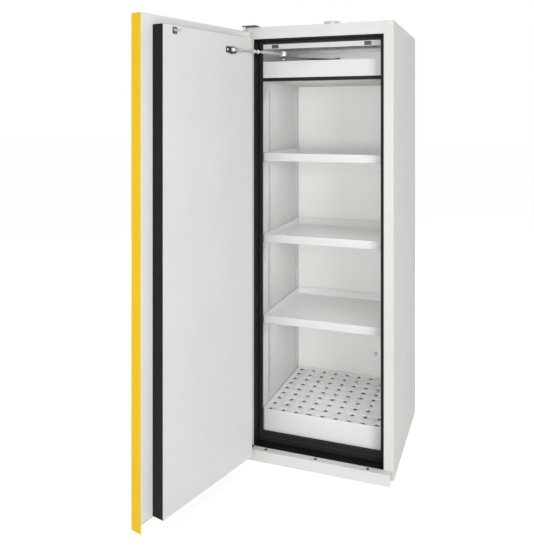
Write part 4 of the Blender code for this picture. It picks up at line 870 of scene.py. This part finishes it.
def lever():
    """Lever of one smooth sweep: a round hub that bends into a flat grip with a turned-in end."""
    low, high = shut_box("handle_lever")
    hub = SHUT @ Vector(JOINTS["handle_turn"]["pos_m"])
    level = hub.z
    grip_y = low.y + 5 * MM
    radius = 12 * MM
    bm = bmesh.new()
    stations = [
        (Vector((hub.x, hub.y, level)), Vector((0, -1, 0)), 11.8, 11.8), (Vector((hub.x, hub.y - 8 * MM, level)), Vector((0, -1, 0)), 11.8, 11.8),
        (Vector((hub.x, hub.y - 14 * MM, level)), Vector((-0.10, -1, 0)), 10.8, 11.0),
        (Vector((hub.x - 1.5 * MM, grip_y + 6.5 * MM, level)), Vector((-0.45, -1, 0)), 9.2, 10.2),
        (Vector((hub.x - 6 * MM, grip_y + 1.6 * MM, level)), Vector((-1, -0.6, 0)), 6.4, 9.6),
        (Vector((hub.x - 15 * MM, grip_y, level)), Vector((-1, 0, 0)), 5.0, 9.2),
        (Vector((hub.x - 45 * MM, grip_y, level)), Vector((-1, 0, 0)), 4.9, 9.0),
        (Vector((hub.x - 85 * MM, grip_y, level)), Vector((-1, 0, 0)), 4.9, 9.0),
        (Vector((hub.x - 112 * MM, grip_y, level)), Vector((-1, 0.05, 0)), 4.8, 8.8),
        (Vector((hub.x - 121 * MM, grip_y + 0.4 * MM, level)), Vector((-1, 0.2, 0)), 4.0, 7.6),
        (Vector((hub.x - 124.6 * MM, grip_y + 0.9 * MM, level)), Vector((-1, 0.3, 0)), 2.2, 5.0),
    ]
    rings = []
    for centre, heading, thick, tall in stations:
        forward = heading.normalized()
        side = Vector((forward.y, -forward.x, 0))
        ring = []
        for turn in range(28):
            angle = 2 * math.pi * turn / 28
            u, v = math.cos(angle), math.sin(angle)
            power = 0.75
            u = math.copysign(abs(u) ** power, u)
            v = math.copysign(abs(v) ** power, v)
            ring.append(bm.verts.new(centre + side * thick * MM * u + Vector((0, 0, tall * MM * v))))
        rings.append(ring)
    for first, second in zip(rings, rings[1:]):
        bridge(bm, first, second)
    bm.faces.new(list(reversed(rings[0])))
    bm.faces.new(rings[-1])
    bmesh.ops.transform(bm, matrix=DOOR, verts=bm.verts)
    piece("lever_grip", bm, "handle", HANDLE_PLASTIC, 40, ["handle_lever"])


def lock():
    low, high = shut_box("lock_cylinder")
    centre = Vector(((low.x + high.x) / 2, 0, (low.z + high.z) / 2))
    matrix = DOOR @ axis_matrix((centre.x, high.y, centre.z), (0, -1, 0))
    depth = high.y - low.y
    bm = bmesh.new()
    sides = 40
    rings = []
    slot_width, slot_height = 1.1 * MM, 4.4 * MM
    for radius, level in ((8, 0), (8, depth / MM - 0.7), (7.4, depth / MM)):
        rings.append([bm.verts.new((radius * MM * math.cos(2 * math.pi * s / sides),
                                    radius * MM * math.sin(2 * math.pi * s / sides), level * MM))
                      for s in range(sides)])
    for level in (depth, depth - 2 * MM):
        ring = []
        for s in range(sides):
            turn = 2 * math.pi * s / sides
            u, v = math.cos(turn), math.sin(turn)
            reach = min(slot_width / max(abs(u), 1e-6), slot_height / max(abs(v), 1e-6))
            ring.append(bm.verts.new((u * reach, v * reach, level)))
        rings.append(ring)
    for first, second in zip(rings, rings[1:]):
        bridge(bm, first, second)
    bm.faces.new(list(reversed(rings[0])))
    bm.faces.new(rings[-1])
    bmesh.ops.transform(bm, matrix=matrix, verts=bm.verts)
    piece("lock_core", bm, "lock", ZINC, 30, ["lock_cylinder"])


def catch_plate():
    """Escutcheon round the slot that the catch slides in."""
    low, high = shut_box("door_catch")
    cover_low, cover_high = shut_box("plug_cover")
    centre = Vector(((low.x + high.x) / 2, cover_high.y, (low.z + high.z) / 2 - 1.5 * MM))
    bm = bmesh.new()
    half_x, half_z = 10.5 * MM, 11.5 * MM
    hole_x, hole_z = 6.9 * MM, 6.3 * MM
    matrix = DOOR @ axis_matrix(centre, (0, 1, 0))
    outer = rounded_ring((-half_z, -half_x), (half_z, half_x), 0, 2 * MM, 4)
    inner = rounded_ring((-hole_z, -hole_x), (hole_z, hole_x), 0, 0.8 * MM, 4)
    turned_x = [[(v, -u) for u, v in ring] for ring in (outer, inner)]
    rings = [[bm.verts.new((u, v, 0.05 * MM)) for u, v in turned_x[0]],
             [bm.verts.new((u, v, 0.9 * MM)) for u, v in turned_x[0]],
             [bm.verts.new((u * 0.96, v * 0.96, 1.2 * MM)) for u, v in turned_x[0]],
             [bm.verts.new((u, v, 1.2 * MM)) for u, v in turned_x[1]],
             [bm.verts.new((u, v, 0.05 * MM)) for u, v in turned_x[1]]]
    for first, second in zip(rings, rings[1:] + rings[:1]):
        bridge(bm, first, second)
    bmesh.ops.transform(bm, matrix=matrix, verts=bm.verts)
    piece("catch_escutcheon", bm, "door", HANDLE_PLASTIC)


def leaf_trim():
    """Thin painted edging over the raw rim of the door's outer pan."""
    low, high = shut_box("door_inner_skin")
    outer_low, outer_high = shut_box("door_outer_skin")
    wide = 2.2 * MM
    bm = bmesh.new()
    bands = ((0.1 * MM, 0.0), (0.1 * MM, 0.18 * MM), (0.3 * MM, 0.28 * MM), (wide, 0.28 * MM), (wide, 0.02 * MM))
    base = PLINTH_TOP + 7 * MM
    rings = []
    for inset, lift in bands:
        y = high.y + lift
        corners = ((outer_low.x + inset, base + inset), (outer_high.x - inset, base + inset),
                   (outer_high.x - inset, outer_high.z - inset), (outer_low.x + inset, outer_high.z - inset))
        rings.append([bm.verts.new(DOOR @ Vector((x, y, z))) for x, z in corners])
    for first, second in zip(rings, rings[1:] + rings[:1]):
        bridge(bm, first, second)
    # The edging takes the door back's coat, painted lighter as painted light.
    piece("leaf_edging", bm, "door", PAINTED_LIGHT_LEAF_COAT, 30)
    strip = bmesh.new()
    rounded_block(strip, (outer_low.x - 0.28 * MM, outer_low.y + 3 * MM, base),
                  (outer_low.x + 0.05 * MM, high.y - 0.5 * MM, outer_high.z - 24 * MM), 0.12 * MM, 0.15 * MM, 2, DOOR)
    piece("hinge_edge_strip", strip, "door", BODY_PAINT)


# ---------------------------------------------------------------- hinges

def hinge_plates():
    for end in ("top", "bottom"):
        node = "hinge_bracket_" + end
        mesh = frame["nodes"][node].data
        low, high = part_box(node)
        thick = 3 * MM
        plate_low = high.z - thick if end == "top" else low.z
        on_plate = [v.co for v in mesh.vertices if plate_low - 1e-5 < v.co.z < plate_low + thick + 1e-5]
        x_low, x_high = min(co.x for co in on_plate), max(co.x for co in on_plate)
        far_end = [co.y for co in on_plate if co.x > x_high - 1e-4]
        y_low, y_high = min(far_end), max(far_end)
        bm = bmesh.new()
        rounded_block(bm, (x_low, y_low, plate_low), (x_high, y_high, plate_low + thick), 0.6 * MM, 5 * MM, 4)
        pin = Matrix.Translation(PIVOT)
        if end == "top":
            lathe(bm, rod_profile(3 * MM, low.z, plate_low + 1 * MM, 0.5 * MM), pin, 24)
            leaf_top = max(v.co.z for v in frame["nodes"]["door_outer_skin"].data.vertices)
            collar = bmesh.new()
            lathe(collar, rod_profile(5.5 * MM, leaf_top + 0.6 * MM, plate_low - 0.1 * MM, 0.4 * MM), pin, 32)
            piece("hinge_collar_top", collar, "cabinet", BODY_PAINT)
        else:
            lathe(bm, rod_profile(3 * MM, plate_low + 1 * MM, high.z, 0.5 * MM), pin, 24)
            lathe(bm, rod_profile(5.5 * MM, plate_low + 1 * MM, plate_low + 6.1 * MM, 0.4 * MM), pin, 32)
            lathe(bm, rod_profile(6.5 * MM, plate_low + 0.1 * MM, plate_low + 2.9 * MM, 0.5 * MM), pin, 32)
        piece("hinge_plate_" + end, bm, "cabinet", DARK_STEEL, 30, [node])
        heads = bmesh.new()
        top = plate_low + thick
        if end == "top":
            spots = ((x_high - 10 * MM, y_high - 9 * MM), (x_high - 30 * MM, y_high - 9 * MM))
        else:
            spots = ((x_high - 8 * MM, (y_low + y_high) / 2),)
        for x, y in spots:
            screw_head(heads, Matrix.Translation((x, y, top - 0.1 * MM)), 4.5 * MM, 1.2 * MM)
        piece("hinge_screws_" + end, heads, "cabinet", SCREW_STEEL)


# ---------------------------------------------------------------- back seams

def rivets():
    """Pop rivets round the back sheet."""
    low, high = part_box("back_panel")
    bm = bmesh.new()
    dome = [(0, 1.3 * MM), (1.6 * MM, 1.25 * MM), (2.7 * MM, 0.9 * MM), (3.2 * MM, 0.2 * MM), (3.2 * MM, -0.4 * MM),
            (0, -0.4 * MM)]
    spots = []
    for step in range(8):
        level = low.z + 0.06 + (high.z - low.z - 0.12) * step / 7
        spots += [(low.x + 0.018, level), (high.x - 0.018, level)]
    for step in range(1, 4):
        across = low.x + (high.x - low.x) * step / 4
        spots += [(across, low.z + 0.025), (across, high.z - 0.025)]
    for x, z in spots:
        lathe(bm, dome, axis_matrix((x, high.y - 0.9 * MM, z), (0, 1, 0)), 20)
    piece("back_rivets", bm, "cabinet", BRIGHT_ZINC, 40)


# ---------------------------------------------------------------- stage, light and camera

def stage():
    floor_mesh = bpy.data.meshes.new("floor")
    bm = bmesh.new()
    size = 30
    corners = [bm.verts.new((x * size, y * size, -0.0002)) for x, y in ((-1, -1), (1, -1), (1, 1), (-1, 1))]
    bm.faces.new(corners)
    bm.to_mesh(floor_mesh)
    bm.free()
    floor = bpy.data.objects.new("floor", floor_mesh)
    bpy.context.scene.collection.objects.link(floor)
    floor.data.materials.append(floor_material())


def floor_material():
    """Pale floor that reads white to the camera and keeps the object's shadow."""
    material = bpy.data.materials.new("pale_floor")
    material.use_nodes = True
    tree = material.node_tree
    tree.nodes.clear()
    place = add(tree, "TexCoord").outputs["Object"]
    cloud = spread(tree, noise(tree, place, 4, 4, 0.6), 0.785, 0.815)
    seen = add(tree, "LightPath")
    plain = add(tree, "BsdfDiffuse", {"Color": cloud})
    shaded = add(tree, "BsdfDiffuse", {"Color": times(tree, cloud, 0.5)})
    glow = add(tree, "Emission", {"Strength": FLOOR_GLOW})
    bright = add(tree, "AddShader", {0: shaded.outputs[0], 1: glow.outputs[0]})
    direct = plus(tree, seen.outputs["Is Camera Ray"], seen.outputs["Is Glossy Ray"])
    chosen = add(tree, "MixShader", {0: direct, 1: plain.outputs[0], 2: bright.outputs[0]})
    out = add(tree, "OutputMaterial")
    tree.links.new(chosen.outputs[0], out.inputs["Surface"])
    return material


def light_world():
    world = bpy.data.worlds.new("studio")
    bpy.context.scene.world = world
    world.use_nodes = True
    tree = world.node_tree
    tree.nodes.clear()
    seen = add(tree, "LightPath")
    direct = plus(tree, plus(tree, seen.outputs["Is Camera Ray"], seen.outputs["Is Glossy Ray"]),
                  seen.outputs["Is Transmission Ray"])
    whole = add(tree, "Background", {"Color": (1, 1, 1, 1), "Strength": 1.0})
    soft = add(tree, "Background", {"Color": (1.0, 0.998, 0.99, 1), "Strength": AMBIENT})
    chosen = add(tree, "MixShader", {0: direct, 1: soft.outputs[0], 2: whole.outputs[0]})
    out = add(tree, "OutputWorld")
    tree.links.new(chosen.outputs[0], out.inputs["Surface"])


def area_lamp(name, place, target, size, power):
    lamp = bpy.data.lights.new(name, "AREA")
    lamp.shape = "RECTANGLE"
    lamp.size, lamp.size_y = size
    lamp.energy = power
    obj = bpy.data.objects.new(name, lamp)
    bpy.context.scene.collection.objects.link(obj)
    obj.location = place
    obj.rotation_euler = (Vector(target) - Vector(place)).to_track_quat("-Z", "Y").to_euler()
    return obj


def bay_lamps():
    """A soft strip of light behind the front of each bay, aimed at its back wall and floor."""
    tops = [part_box("shelf_tray_" + level)[0].z for level in ("lower", "middle", "upper")]
    tops.append(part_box("duct_floor")[0].z)
    floors = [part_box("perforated_insert")[1].z] + [top + 0.04 for top in tops[:3]]
    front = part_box("shelf_tray_upper")[0].y + 0.015
    for step, (top, base) in enumerate(zip(tops, floors)):
        lamp = area_lamp("bay_%d" % step, (0, front, top - 0.02), (0, 0.06, base), (0.28, 0.02), BAY_LIGHT)
        lamp.visible_camera = lamp.visible_glossy = False
    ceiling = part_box("liner_ceiling")[0].z
    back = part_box("liner_back")[0].y
    lamp = area_lamp("duct", (0.05, back - 0.12, ceiling - 0.10), (0.05, back, ceiling - 0.02), (0.40, 0.02), DUCT_LIGHT)
    lamp.visible_camera = lamp.visible_glossy = False


def lamps():
    area_lamp("key", (0.5, -5.4, 1.15), (0.1, 0.0, 0.95), (1.6, 0.9), 58)
    area_lamp("right_fill", (2.9, -3.6, 1.3), (-0.2, -0.4, 0.9), (1.6, 1.6), 80)
    area_lamp("back_fill", (-3.2, 3.6, 2.0), (0, 0, 0.9), (2.0, 2.0), 70)
    bay_lamps()


def camera():
    data = bpy.data.cameras.new("camera")
    obj = bpy.data.objects.new("camera", data)
    bpy.context.scene.collection.objects.link(obj)
    obj.location = CAMERA_PLACE
    obj.rotation_euler = (math.pi / 2, 0, CAMERA_YAW)
    data.sensor_width = SENSOR
    data.lens = FOCAL_PX / IMAGE_HEIGHT * SENSOR
    data.shift_y = -(IMAGE_HEIGHT / 2 - HORIZON_PX) / IMAGE_HEIGHT
    data.clip_end = 100
    bpy.context.scene.camera = obj


bpy.context.scene.view_settings.view_transform = "Standard"
dress_nodes()
trays()
insert_plate()
plinth_screws()
stud()
buffer_cap()
lip_seal()
jamb_strips()
exhaust()
valve()
closer()
handle()
catch_plate()
leaf_trim()
hinge_plates()
rivets()
stage()
light_world()
lamps()
camera()
